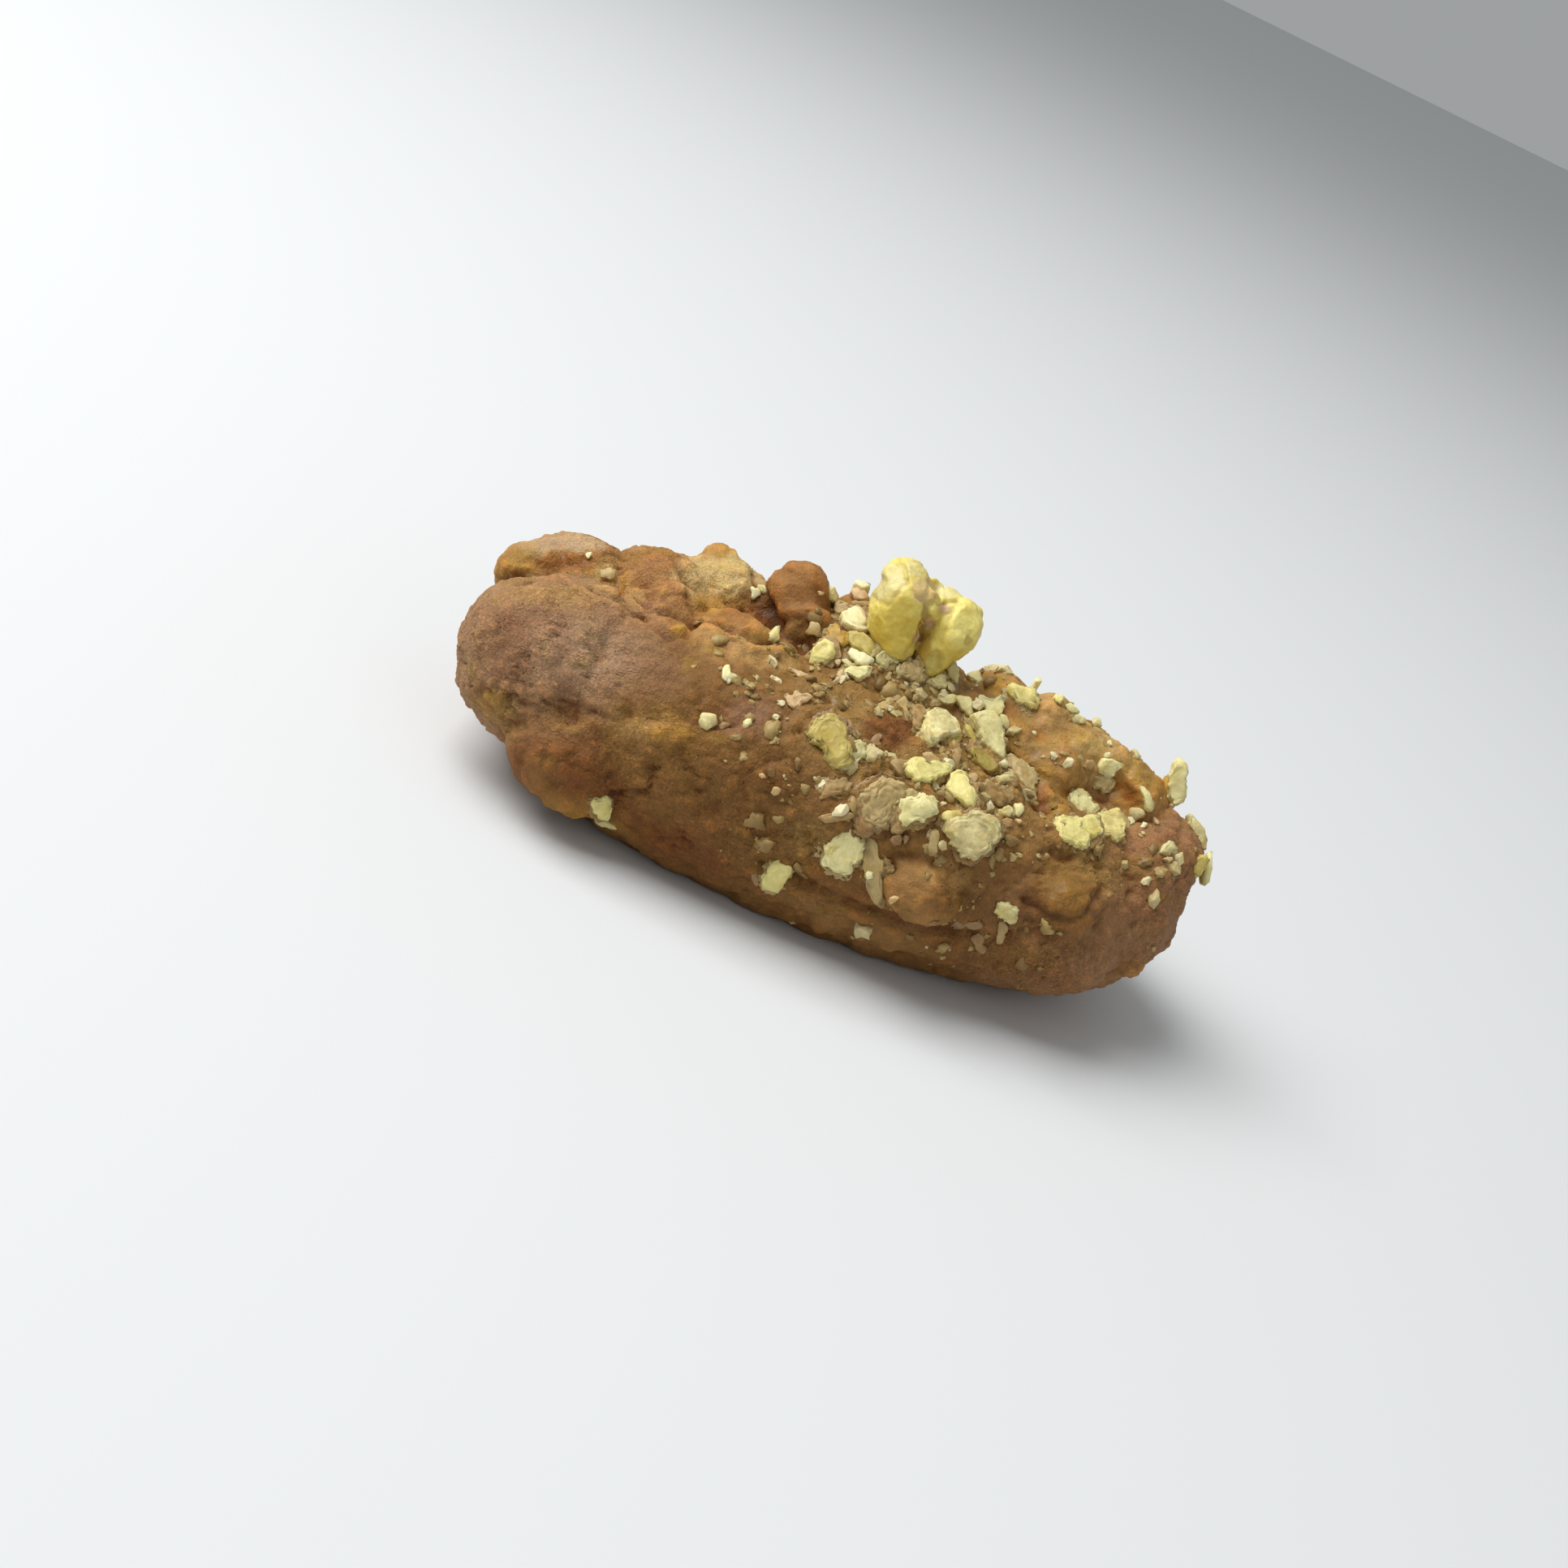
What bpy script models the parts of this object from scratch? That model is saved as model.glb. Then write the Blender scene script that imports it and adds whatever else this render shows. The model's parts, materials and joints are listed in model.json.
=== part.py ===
"""One melomakarono: a honey-soaked biscuit with chopped walnuts, which lies on its flat base.

Run with: blender --background --python part.py

The long axis is X, +Z is up and the origin is the centre of the flat base.
Sizes below are in millimetres, and MM turns them into metres.
The dough is a loaf with overlapping lobes on it, and folds are pressed in between them.
A nut's place is given by its station, the distance along X, and its clock, the angle
round the long axis: 0 at the crown, 90 at the front (-Y) and -90 at the back.
"""

import math
import random
from collections import namedtuple

import bmesh
import bpy
from mathutils import Matrix, Vector, noise
from mathutils.bvhtree import BVHTree
from mathutils.geometry import intersect_point_line

MM = 0.001

# Driving sizes of the loaf, before its lobes are added.
LENGTH = 71.0
WIDTH = 35.4
HEIGHT = 21.0
BELLY = 10.4  # height of the widest section above the base
UNDERSIDE = 13.2  # depth of the lower half if it weren't flattened by the tray
SQUARENESS = 2.4  # 2 is an ellipsoid, more is boxier
END_TAPER = 0.06  # how much wider the left end is than the right
AXIS_HEIGHT = 10.0  # of the axis that the clock turns about

# Surface of the dough.
DOUGH_STEP = 0.8  # width of its quads before they are thinned out
DOUGH_SMOOTHING = 2
DOUGH_FACES = 4400
RELIEF_SCALE = 5.5
RELIEF_DEPTH = 0.35

# Surface of the walnut piece that stands on the crown.
WALNUT_STEP = 0.4
WALNUT_SMOOTHING = 4
WALNUT_FACES = 800
GAP = 0.35  # between it and the dough

Lobe = namedtuple("Lobe", "name centre radii turn")
LOBES = (
    Lobe("left_front", (-27.0, -5.4, 10.9), (9.8, 9.2, 8.4), -6),
    Lobe("left_corner", (-32.6, 5.2, 13.2), (4.2, 4.4, 4.0), 0),
    Lobe("left_ridge", (-28.0, 7.4, 14.4), (6.0, 5.0, 4.4), 0),
    Lobe("ridge_top", (-21.5, 8.9, 16.0), (5.8, 5.0, 4.3), 0),
    Lobe("red_lump", (-20.8, 3.6, 18.6), (3.7, 3.5, 3.5), 0),
    Lobe("red_lump_foot", (-19.6, -0.8, 18.6), (3.5, 2.6, 2.5), -20),
    Lobe("tan_ridge", (-16.0, 7.4, 19.2), (4.8, 4.4, 3.7), 0),
    Lobe("ridge_pip", (-17.6, 8.4, 21.9), (1.9, 1.8, 1.4), 0),
    Lobe("crumbly_patch", (-12.6, 4.4, 19.2), (2.9, 2.8, 2.4), 0),
    Lobe("red_ball", (-9.8, 4.6, 22.4), (3.5, 3.3, 4.2), 0),
    Lobe("small_ball", (-4.2, 5.2, 23.6), (1.9, 2.0, 2.2), 0),
    Lobe("crown", (0.0, 3.8, 16.2), (12.0, 9.6, 8.4), 0),
    Lobe("right_crown", (12.0, 2.6, 14.6), (11.0, 9.4, 8.4), 0),
    Lobe("tan_lobe", (-13.0, -3.6, 18.2), (5.8, 4.2, 3.9), -10),
    Lobe("low_left", (-22.8, -12.4, 6.8), (6.0, 5.2, 5.2), -10),
    Lobe("front_belly", (-8.8, -10.4, 10.6), (12.0, 7.2, 7.6), 0),
    Lobe("right_hump", (12.8, 4.6, 20.2), (4.9, 4.8, 4.2), 10),
    Lobe("orange_lobe", (17.9, -0.6, 18.6), (3.5, 3.6, 4.2), 0),
    Lobe("second_hump", (20.0, 3.2, 19.4), (5.0, 4.6, 4.2), 0),
    Lobe("upper_right", (26.4, 2.4, 17.8), (3.9, 4.6, 4.4), 0),
    Lobe("right_tip", (31.0, 0.2, 15.0), (4.3, 4.9, 4.8), 0),
    Lobe("front_lump", (9.6, -16.2, 10.2), (4.3, 3.6, 3.1), -8),
    Lobe("disc_lump", (22.2, -12.8, 13.0), (3.9, 3.6, 3.4), 8),
    Lobe("foot_band", (7.4, -11.8, 7.6), (15.0, 6.0, 5.4), 0),
    Lobe("right_foot", (21.8, -8.2, 9.0), (9.2, 7.8, 6.9), 8),
    Lobe("right_cap", (29.0, -2.4, 11.2), (6.5, 8.0, 7.8), 0),
    Lobe("foot_pip", (31.4, -7.8, 8.4), (1.9, 1.9, 1.9), 0),
    Lobe("back_belly", (-2.0, 11.4, 10.4), (13.0, 7.4, 8.4), 4),
    Lobe("back_left", (-22.0, 10.2, 9.0), (9.0, 6.8, 6.8), -14),
    Lobe("back_right", (17.5, 11.2, 10.0), (9.5, 6.6, 7.4), -10),
    Lobe("back_lump", (7.5, 15.6, 13.2), (4.2, 3.2, 3.5), 10),
    Lobe("back_pip", (-12.5, 15.2, 12.8), (3.2, 3.0, 3.0), 0),
)

Crease = namedtuple("Crease", "name path depth width")
CREASES = (
    Crease(
        "ledge",
        ((-33.5, -3.5, 17), (-30.4, -4.2, 18.7), (-26.2, -5, 19.3), (-22.5, -5.8, 19)),
        0.6,
        0.7,
    ),
    Crease(
        "low_left_fold",
        ((-30.6, -13.5, 9), (-27, -14.5, 11), (-23.5, -15, 11.8), (-20, -15.4, 14)),
        0.8,
        0.6,
    ),
    Crease("mid_fold", ((-20, -15.4, 14), (-16, -15.3, 15.9), (-11, -14.5, 17)), 0.4, 0.9),
    Crease(
        "crack",
        ((-18.5, -16, 6.5), (-15.5, -17, 9), (-16.2, -17, 10.1), (-15.4, -17, 11.2)),
        0.9,
        0.4,
    ),
    Crease("crumbly_hollow", ((-13.4, 2.4, 21.6), (-11.6, 0.6, 21.4), (-8.6, 0.2, 22)), 1.3, 1.3),
    Crease(
        "orange_fold",
        ((12.5, -2.3, 21.7), (13.9, -3.8, 20.8), (15.8, -5.8, 19.8), (17.2, -8, 19)),
        0.9,
        0.9,
    ),
    Crease("right_fold", ((24, 3, 21.5), (23.6, -1, 20.5), (24.6, -4.5, 19)), 0.8, 0.8),
    Crease(
        "foot_ledge",
        ((-4, -17, 6.6), (5.6, -17.7, 6.9), (10, -17.7, 7.4), (15.8, -16.7, 8.7)),
        0.8,
        0.7,
    ),
    Crease("end_wrinkle", ((26.9, -7.4, 17.3), (28.5, -9.5, 15.6), (30.1, -10.4, 13.2)), 0.7, 0.6),
    Crease("belly_crease", ((-14.3, -17, 12.8), (-12, -17.8, 11), (-9.8, -17.9, 9.9)), 0.5, 0.8),
    Crease("back_fold", ((-16, 16, 14), (-6, 18, 9.4), (6, 18, 7.2)), 0.9, 0.8),
    Crease("back_split", ((10, 13, 17), (13, 17, 11.6), (12, 17.8, 6)), 0.9, 0.6),
)

Nut = namedtuple("Nut", "name kind station clock size turn")
NUTS = (
    Nut("pale_flake", "flake", -4.6, -4, (3.4, 2.2, 1.8), 106),
    Nut("bright_one", "chunk", -5.6, 12, (3.0, 2.3, 1.8), 56),
    Nut("pale_two", "flake", -2.7, 10, (2.7, 2.1, 1.4), 6),
    Nut("pale_three", "flake", -2.3, 18, (3.2, 1.7, 1.2), 26),
    Nut("crumbly_a", "crumb", -1.2, 12, (2.3, 1.8, 1.4), 26),
    Nut("clear_a", "crumb", 2.4, 13, (2.6, 1.9, 1.2), 26),
    Nut("sliver_a", "strip", 7.4, 5, (3.0, 1.1, 3.0), 102),
    Nut("pip_a", "crumb", 9.6, -14, (1.6, 1.4, 1.2), 26),
    Nut("yellow_a", "chunk", 13.1, -10, (3.1, 2.9, 2.2), 2),
    Nut("sliver_b", "strip", 6.4, 5, (3.1, 1.3, 1.2), 176),
    Nut("flake_b", "flake", 8.3, 4, (3.0, 1.6, 1.4), 146),
    Nut("y_top", "flake", 10.4, -1, (3.8, 2.1, 1.4), 36),
    Nut("big_wedge", "wedge", 10.7, 16, (6.3, 2.9, 2.4), 122),
    Nut("dark_wedge", "wedge", 10.4, 35, (4.3, 2.7, 1.8), 156),
    Nut("round_a", "chunk", 6.3, 28, (5.0, 5.2, 2.2), 26),
    Nut("clear_b", "flake", 3.1, 27, (5.1, 1.6, 1.0), 126),
    Nut("large_left", "wedge", -3.0, 58, (6.5, 3.3, 2.8), 132),
    Nut("large_tail", "chunk", -0.4, 60, (3.5, 1.5, 1.4), 26),
    Nut("leaf_a", "flake", 6.2, 53, (5.9, 2.3, 1.6), 34),
    Nut("wedge_c", "wedge", 9.5, 54, (4.4, 2.8, 2.2), 142),
    Nut("crumbly_b", "crumb", 6.4, 66, (4.1, 3.0, 2.4), 46),
    Nut("big_round", "chunk", 11.7, 66, (5.9, 4.7, 3.0), 52),
    Nut("round_side", "crumb", 9.3, 63, (2.2, 1.4, 1.6), 46),
    Nut("pale_round", "chunk", 1.9, 85, (4.6, 3.8, 2.4), 86),
    Nut("long_strip", "strip", 5.1, 87, (7.7, 1.9, 1.4), 122),
    Nut("strip_side", "flake", 9.1, 73, (2.7, 1.7, 1.4), 106),
    Nut("crumb_c", "crumb", 14.7, 53, (3.2, 2.1, 1.6), 56),
    Nut("crumb_d", "crumb", 21.2, 22, (2.6, 2.0, 1.6), 86),
    Nut("bright_two", "chunk", 20.7, 50, (3.8, 3.1, 2.6), 96),
    Nut("bright_three", "chunk", 24.0, 33, (4.6, 3.4, 2.6), 16),
    Nut("crumb_e", "crumb", 23.2, -5, (2.9, 2.2, 1.4), 12),
    Nut("crumb_f", "crumb", 23.5, -1, (2.5, 1.7, 1.2), 26),
    Nut("sliver_c", "flake", 27.2, 1, (3.0, 1.3, 1.4), 142),
    Nut("pip_b", "crumb", 27.1, 10, (1.4, 1.1, 1.2), 26),
    Nut("edge_up", "chunk", 29.2, -14, (4.4, 1.9, 2.6), 80),
    Nut("edge_pip", "crumb", 29.1, -9, (1.4, 1.3, 1.0), 26),
    Nut("edge_strip", "strip", 32.6, -6, (3.8, 1.6, 1.6), 142),
    Nut("edge_low", "flake", 33.9, 12, (3.2, 2.0, 2.0), 102),
    Nut("pip_c", "crumb", 30.6, 26, (1.7, 1.3, 1.0), 26),
    Nut("pip_d", "crumb", 30.5, 42, (1.3, 1.1, 1.0), 26),
    Nut("crumb_g", "crumb", 18.7, 61, (2.6, 1.6, 1.4), 106),
    Nut("round_b", "chunk", 17.5, 84, (2.3, 2.1, 1.6), 26),
    Nut("strip_b", "strip", 18.1, 91, (3.3, 1.0, 1.0), 112),
    Nut("tan_flake", "flake", 14.9, 93, (2.8, 1.5, 1.0), 6),
    Nut("ridge_crumb_a", "crumb", 10.2, -25, (2.1, 1.5, 1.0), 26),
    Nut("ridge_crumb_b", "crumb", 16.2, -22, (1.8, 2.3, 1.0), 176),
    Nut("ridge_crumb_c", "crumb", 19.0, -20, (1.8, 2.3, 1.0), 176),
    Nut("hollow_nut", "crumb", -11.1, 22, (3.3, 1.5, 1.4), 86),
    Nut("crumb_h", "crumb", -6.9, -1, (1.8, 1.7, 1.2), 26),
    Nut("t_crumb", "crumb", -13.2, 51, (2.1, 1.2, 1.0), 106),
    Nut("white_pip", "chunk", -13.4, 68, (2.2, 1.4, 1.4), 26),
    Nut("white_pip_b", "crumb", -10.2, 64, (1.1, 1.0, 1.0), 26),
    Nut("bright_four", "chunk", -2.2, 101, (4.7, 2.5, 2.2), 86),
    Nut("clear_c", "crumb", -4.0, 107, (2.5, 1.2, 1.0), 106),
    Nut("edge_nut", "chunk", -18.9, 111, (4.9, 2.5, 1.6), 132),
)

NutKind = namedtuple("NutKind", "subdivisions roughness taper sink")
NUT_KINDS = {
    "chunk": NutKind(2, 0.26, 0.1, 0.36),
    "wedge": NutKind(2, 0.22, 0.55, 0.36),
    "flake": NutKind(2, 0.24, 0.3, 0.4),
    "strip": NutKind(2, 0.16, 0.35, 0.4),
    "crumb": NutKind(1, 0.3, 0.1, 0.4),
}

# Nuts on the side that faces away, placed by chance with the largest first.
SEED = 7
HIDDEN_COUNT = 22
HIDDEN_STATIONS = (-12.0, 31.0)
HIDDEN_CLOCKS = (-96.0, -24.0)
HIDDEN_SPACING = 3.6
HIDDEN_SIZES = (4.4, 1.5)

WALNUT_LOBES = (
    Lobe("left_lobe", (-1.3, 0.8, 27.6), (2.6, 3.3, 4.1), 10),
    Lobe("left_top", (-1.5, 1.6, 29.9), (2.4, 2.7, 1.8), 0),
    Lobe("middle_boss", (1.0, 1.4, 28.4), (2.0, 2.6, 2.5), 0),
    Lobe("left_foot", (0.2, 0.4, 25.0), (1.9, 2.4, 2.4), 0),
    Lobe("right_lobe", (4.8, 3.0, 27.0), (2.6, 3.4, 3.4), -10),
    Lobe("right_top", (3.1, 3.3, 29.0), (2.3, 2.8, 1.8), 0),
    Lobe("right_edge", (5.9, 3.6, 27.8), (1.7, 2.8, 2.5), 0),
    Lobe("right_foot", (3.2, 1.6, 25.0), (2.2, 2.6, 2.6), 0),
)


def new_object(name, shape, collection):
    """Puts the bmesh shape in a new object of collection and frees it."""
    mesh = bpy.data.meshes.new(name)
    shape.to_mesh(mesh)
    shape.free()
    made = bpy.data.objects.new(name, mesh)
    collection.objects.link(made)
    return made


def apply_modifiers(made):
    """Gives the object the mesh that its modifiers make, and removes them."""
    graph = bpy.context.evaluated_depsgraph_get()
    mesh = bpy.data.meshes.new_from_object(made.evaluated_get(graph))
    made.modifiers.clear()
    made.data = mesh


def add_loaf(shape):
    """Adds the plain loaf: a boxy ellipsoid, fuller above its belly line and narrower to the right."""
    loaf = bmesh.ops.create_icosphere(shape, subdivisions=4, radius=1)
    for vertex in loaf["verts"]:
        way = vertex.co
        level = sum(abs(part) ** SQUARENESS for part in way) ** (1 / SQUARENESS)
        x, y, z = way / level
        taper = 1 - END_TAPER * x / 2
        rise = (HEIGHT - BELLY if z > 0 else UNDERSIDE) * taper
        vertex.co = Vector((x * LENGTH / 2, y * taper * WIDTH / 2, BELLY + z * rise)) * MM


def add_lobe(shape, lobe):
    """Adds one ellipsoid, turned about Z."""
    place = Matrix.Translation(Vector(lobe.centre) * MM)
    turn = Matrix.Rotation(math.radians(lobe.turn), 4, "Z")
    radii = Matrix.Diagonal((*(Vector(lobe.radii) * MM), 1))
    bmesh.ops.create_icosphere(shape, subdivisions=3, radius=1, matrix=place @ turn @ radii)


def merge_lobes(made, step, smoothing):
    """Makes one skin of even quads, step millimetres wide, over all that the object holds."""
    skin = made.modifiers.new("one_skin", "REMESH")
    skin.mode = "VOXEL"
    skin.voxel_size = step * MM
    soften = made.modifiers.new("soften", "SMOOTH")
    soften.factor = 0.5
    soften.iterations = smoothing
    apply_modifiers(made)


def thin_out(made, faces):
    """Collapses the object's mesh to about so many triangles, most of them where it curves."""
    made.data.calc_loop_triangles()
    thin = made.modifiers.new("thin_out", "DECIMATE")
    thin.ratio = faces / len(made.data.loop_triangles)
    apply_modifiers(made)


def crease_depth(point, crease):
    """How far, in millimetres, a crease presses the dough in at a point."""
    nearest = math.inf
    for start, end in zip(crease.path[:-1], crease.path[1:]):
        beside, share = intersect_point_line(point, Vector(start), Vector(end))
        if share < 0:
            beside = Vector(start)
        elif share > 1:
            beside = Vector(end)
        nearest = min(nearest, (point - beside).length)
    return crease.depth * math.exp(-((nearest / crease.width) ** 2))


def relief(point):
    """Lumps with furrows between them, as hand-rolled dough has, in millimetres."""
    broad = abs(noise.noise(point / RELIEF_SCALE)) * 2.4 - 0.5
    small = abs(noise.noise(point / RELIEF_SCALE * 2.4)) * 2.4 - 0.5
    return RELIEF_DEPTH * (broad + 0.4 * small)


def make_dough(collection):
    """The loaf with its lobes, pressed in along the creases and flattened at the base."""
    shape = bmesh.new()
    add_loaf(shape)
    for lobe in LOBES:
        add_lobe(shape, lobe)
    dough = new_object("dough", shape, collection)
    merge_lobes(dough, DOUGH_STEP, DOUGH_SMOOTHING)
    shape = bmesh.new()
    shape.from_mesh(dough.data)
    shape.normal_update()
    for vertex in shape.verts:
        point = vertex.co / MM
        rise = relief(point) - sum(crease_depth(point, crease) for crease in CREASES)
        vertex.co += vertex.normal * rise * MM
    shape.to_mesh(dough.data)
    shape.free()
    thin_out(dough, DOUGH_FACES)
    flatten_base(dough.data)
    return dough


def flatten_base(mesh):
    """Cuts off what is below the base and closes the cut."""
    shape = bmesh.new()
    shape.from_mesh(mesh)
    bmesh.ops.bisect_plane(
        shape,
        geom=shape.verts[:] + shape.edges[:] + shape.faces[:],
        plane_co=(0, 0, 0),
        plane_no=(0, 0, 1),
        clear_inner=True,
    )
    bmesh.ops.holes_fill(shape, edges=[edge for edge in shape.edges if edge.is_boundary])
    bmesh.ops.recalc_face_normals(shape, faces=shape.faces[:])
    shape.to_mesh(mesh)
    shape.free()


def make_walnut(dough, collection, cutters):
    """The large walnut piece, cut to the dough below it with a thin gap."""
    shape = bmesh.new()
    for lobe in WALNUT_LOBES:
        add_lobe(shape, lobe)
    walnut = new_object("walnut_chunk", shape, collection)
    merge_lobes(walnut, WALNUT_STEP, WALNUT_SMOOTHING)
    thin_out(walnut, WALNUT_FACES)
    cutter = bpy.data.objects.new("dough_with_gap", dough.data)
    as_cutter(cutter, cutters)
    swell = cutter.modifiers.new("gap", "DISPLACE")
    swell.mid_level = 0
    swell.strength = GAP * MM
    cut = walnut.modifiers.new("clear_of_dough", "BOOLEAN")
    cut.operation = "DIFFERENCE"
    cut.object = cutter
    apply_modifiers(walnut)
    bpy.data.objects.remove(cutter)
    return walnut


def as_cutter(made, cutters):
    """Keeps a helper object out of the part."""
    made.hide_render = True
    made.display_type = "WIRE"
    cutters.objects.link(made)


def meet_dough(tree, station, clock):
    """The point, in millimetres, and the normal where the dough is met at a station and clock."""
    angle = math.radians(clock)
    way = Vector((0, -math.sin(angle), math.cos(angle)))
    start = Vector((station, 0, AXIS_HEIGHT)) + way * 60
    point, normal, _, _ = tree.ray_cast(start * MM, -way)
    if point is None:
        return None, None
    return point / MM, normal


def add_nut(nut, tree, cutters):
    """One uneven lump of nut, set into the dough and turned about the dough's normal."""
    kind = NUT_KINDS[nut.kind]
    point, normal = meet_dough(tree, nut.station, nut.clock)
    along = (Vector((1, 0, 0)) - normal * normal.x).normalized()
    facing = Matrix((along, normal.cross(along), normal)).transposed()
    half = Vector(nut.size) / 2 * MM
    shift = Vector((nut.station, nut.clock, 0))
    shape = bmesh.new()
    bmesh.ops.create_icosphere(shape, subdivisions=kind.subdivisions, radius=1)
    for vertex in shape.verts:
        way = vertex.co.copy()
        swell = 1 + kind.roughness * 2 * noise.noise(way * 1.7 + shift)
        way.y *= 1 - kind.taper * way.x * 0.5
        way.z *= 1 - kind.taper * way.x * 0.3
        vertex.co = way * swell * half
    mesh = bpy.data.meshes.new(nut.name)
    shape.to_mesh(mesh)
    shape.free()
    piece = bpy.data.objects.new(nut.name, mesh)
    middle = point + normal * nut.size[2] * (0.5 - kind.sink)
    turn = facing @ Matrix.Rotation(math.radians(nut.turn), 3, "Z")
    piece.matrix_world = Matrix.Translation(middle * MM) @ turn.to_4x4()
    as_cutter(piece, cutters)


def hidden_nuts(tree, walnut_tree):
    """Nuts for the far side, largest first, each kept clear of those before it and of the walnut."""
    chance = random.Random(SEED)
    kinds = ("chunk", "flake", "wedge", "crumb")
    taken = [meet_dough(tree, nut.station, nut.clock)[0] for nut in NUTS]
    found = []
    while len(found) < HIDDEN_COUNT:
        station = chance.uniform(*HIDDEN_STATIONS)
        clock = chance.uniform(*HIDDEN_CLOCKS)
        point, _ = meet_dough(tree, station, clock)
        if point is None or min((point - other).length for other in taken) < HIDDEN_SPACING:
            continue
        if walnut_tree.find_nearest(point * MM)[3] < HIDDEN_SPACING * MM:
            continue
        share = len(found) / (HIDDEN_COUNT - 1)
        length = HIDDEN_SIZES[0] + (HIDDEN_SIZES[1] - HIDDEN_SIZES[0]) * share
        kind = kinds[len(found) % 4] if length > 2.2 else "crumb"
        size = (length, length * chance.uniform(0.5, 0.85), length * chance.uniform(0.4, 0.6))
        taken.append(point)
        found.append(Nut(f"hidden_{len(found)}", kind, station, clock, size, chance.uniform(0, 180)))
    return found


def keep_largest(mesh):
    """Fills hollows that fusing sealed and drops scraps, by keeping only the largest shell."""
    shape = bmesh.new()
    shape.from_mesh(mesh)
    left = set(shape.verts)
    shells = []
    while left:
        shell = {left.pop()}
        rim = list(shell)
        while rim:
            vertex = rim.pop()
            beside = {edge.other_vert(vertex) for edge in vertex.link_edges} & left
            left -= beside
            shell |= beside
            rim += beside
        shells.append(shell)
    shells.sort(key=len)
    for shell in shells[:-1]:
        bmesh.ops.delete(shape, geom=list(shell), context="VERTS")
    shape.to_mesh(mesh)
    shape.free()


def fuse(base, pieces):
    """Joins every object of the collection pieces to base and removes them."""
    union = base.modifiers.new("fuse_nuts", "BOOLEAN")
    union.operation = "UNION"
    union.operand_type = "COLLECTION"
    union.collection = pieces
    union.solver = "EXACT"
    apply_modifiers(base)
    keep_largest(base.data)
    for piece in list(pieces.objects):
        bpy.data.objects.remove(piece)


def set_material(made, name, colour, roughness):
    """Gives the object a plain material with the finish of one ingredient."""
    finish = bpy.data.materials.new(name)
    finish.use_nodes = True
    shader = finish.node_tree.nodes["Principled BSDF"]
    shader.inputs["Base Color"].default_value = (*colour, 1)
    shader.inputs["Roughness"].default_value = roughness
    shader.inputs["Metallic"].default_value = 0
    made.data.materials.clear()
    made.data.materials.append(finish)


def new_collection(name):
    made = bpy.data.collections.new(name)
    bpy.context.scene.collection.children.link(made)
    return made


def main():
    for old in list(bpy.data.objects):
        bpy.data.objects.remove(old)
    part = new_collection("melomakarono")
    cutters = new_collection("melomakarono_cutters")
    dough = make_dough(part)
    walnut = make_walnut(dough, part, cutters)
    graph = bpy.context.evaluated_depsgraph_get()
    tree = BVHTree.FromObject(dough, graph)
    walnut_tree = BVHTree.FromObject(walnut, graph)
    for nut in [*NUTS, *hidden_nuts(tree, walnut_tree)]:
        add_nut(nut, tree, cutters)
    fuse(dough, cutters)
    set_material(dough, "honeyed_dough", (0.30, 0.17, 0.08), 0.55)
    set_material(walnut, "walnut", (0.64, 0.52, 0.20), 0.5)


if __name__ == "__main__":
    main()
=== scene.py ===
"""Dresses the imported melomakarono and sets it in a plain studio.

Lengths are in millimetres, and MM turns them into metres. X runs along the biscuit, +Z is up and
the origin is the centre of its flat base. A place on the dough is given by its station, the
distance along X, and its clock, the angle round the long axis: 0 at the crown, 90 at the front
(-Y) and -90 at the back. Colours are linear red, green and blue.
"""

from __future__ import annotations

import json
import logging
import math
import random
from dataclasses import dataclass
from enum import Enum
from typing import Any, Mapping, Sequence, Union

import bmesh
import bpy
import numpy as np
from mathutils import Matrix, Vector, noise
from mathutils.bvhtree import BVHTree

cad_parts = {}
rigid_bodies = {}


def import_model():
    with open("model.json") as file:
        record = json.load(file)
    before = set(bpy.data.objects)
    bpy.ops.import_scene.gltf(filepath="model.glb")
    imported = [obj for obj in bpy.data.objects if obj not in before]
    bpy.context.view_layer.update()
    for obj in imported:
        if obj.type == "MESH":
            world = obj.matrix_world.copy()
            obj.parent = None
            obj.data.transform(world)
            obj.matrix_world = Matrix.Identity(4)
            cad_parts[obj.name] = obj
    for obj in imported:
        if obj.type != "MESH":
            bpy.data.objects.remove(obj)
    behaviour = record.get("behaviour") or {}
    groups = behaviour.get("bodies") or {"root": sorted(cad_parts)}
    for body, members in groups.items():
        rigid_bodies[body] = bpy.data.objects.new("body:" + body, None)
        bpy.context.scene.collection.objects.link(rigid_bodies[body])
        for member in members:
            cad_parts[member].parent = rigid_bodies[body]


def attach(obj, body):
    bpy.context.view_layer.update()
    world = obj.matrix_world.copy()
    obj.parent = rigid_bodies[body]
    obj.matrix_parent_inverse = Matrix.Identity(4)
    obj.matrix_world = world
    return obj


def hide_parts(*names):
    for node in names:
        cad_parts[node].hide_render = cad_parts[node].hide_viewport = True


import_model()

MM = 0.001
AXIS_HEIGHT = 10.0  # of the axis that the clock turns about
WELL_OUTSIDE = 60.0  # further from that axis than any point of the part
LOG = logging.getLogger("melomakarono")
NOISE_SEED = 1  # of noise_vector, which otherwise starts from the clock

Colour = tuple[float, float, float]
Place = tuple[float, float, float]
Pixel = tuple[float, float]
Number = Union[float, "Value"]
Socket = bpy.types.NodeSocket
Paint = Union[Colour, Socket]


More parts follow.
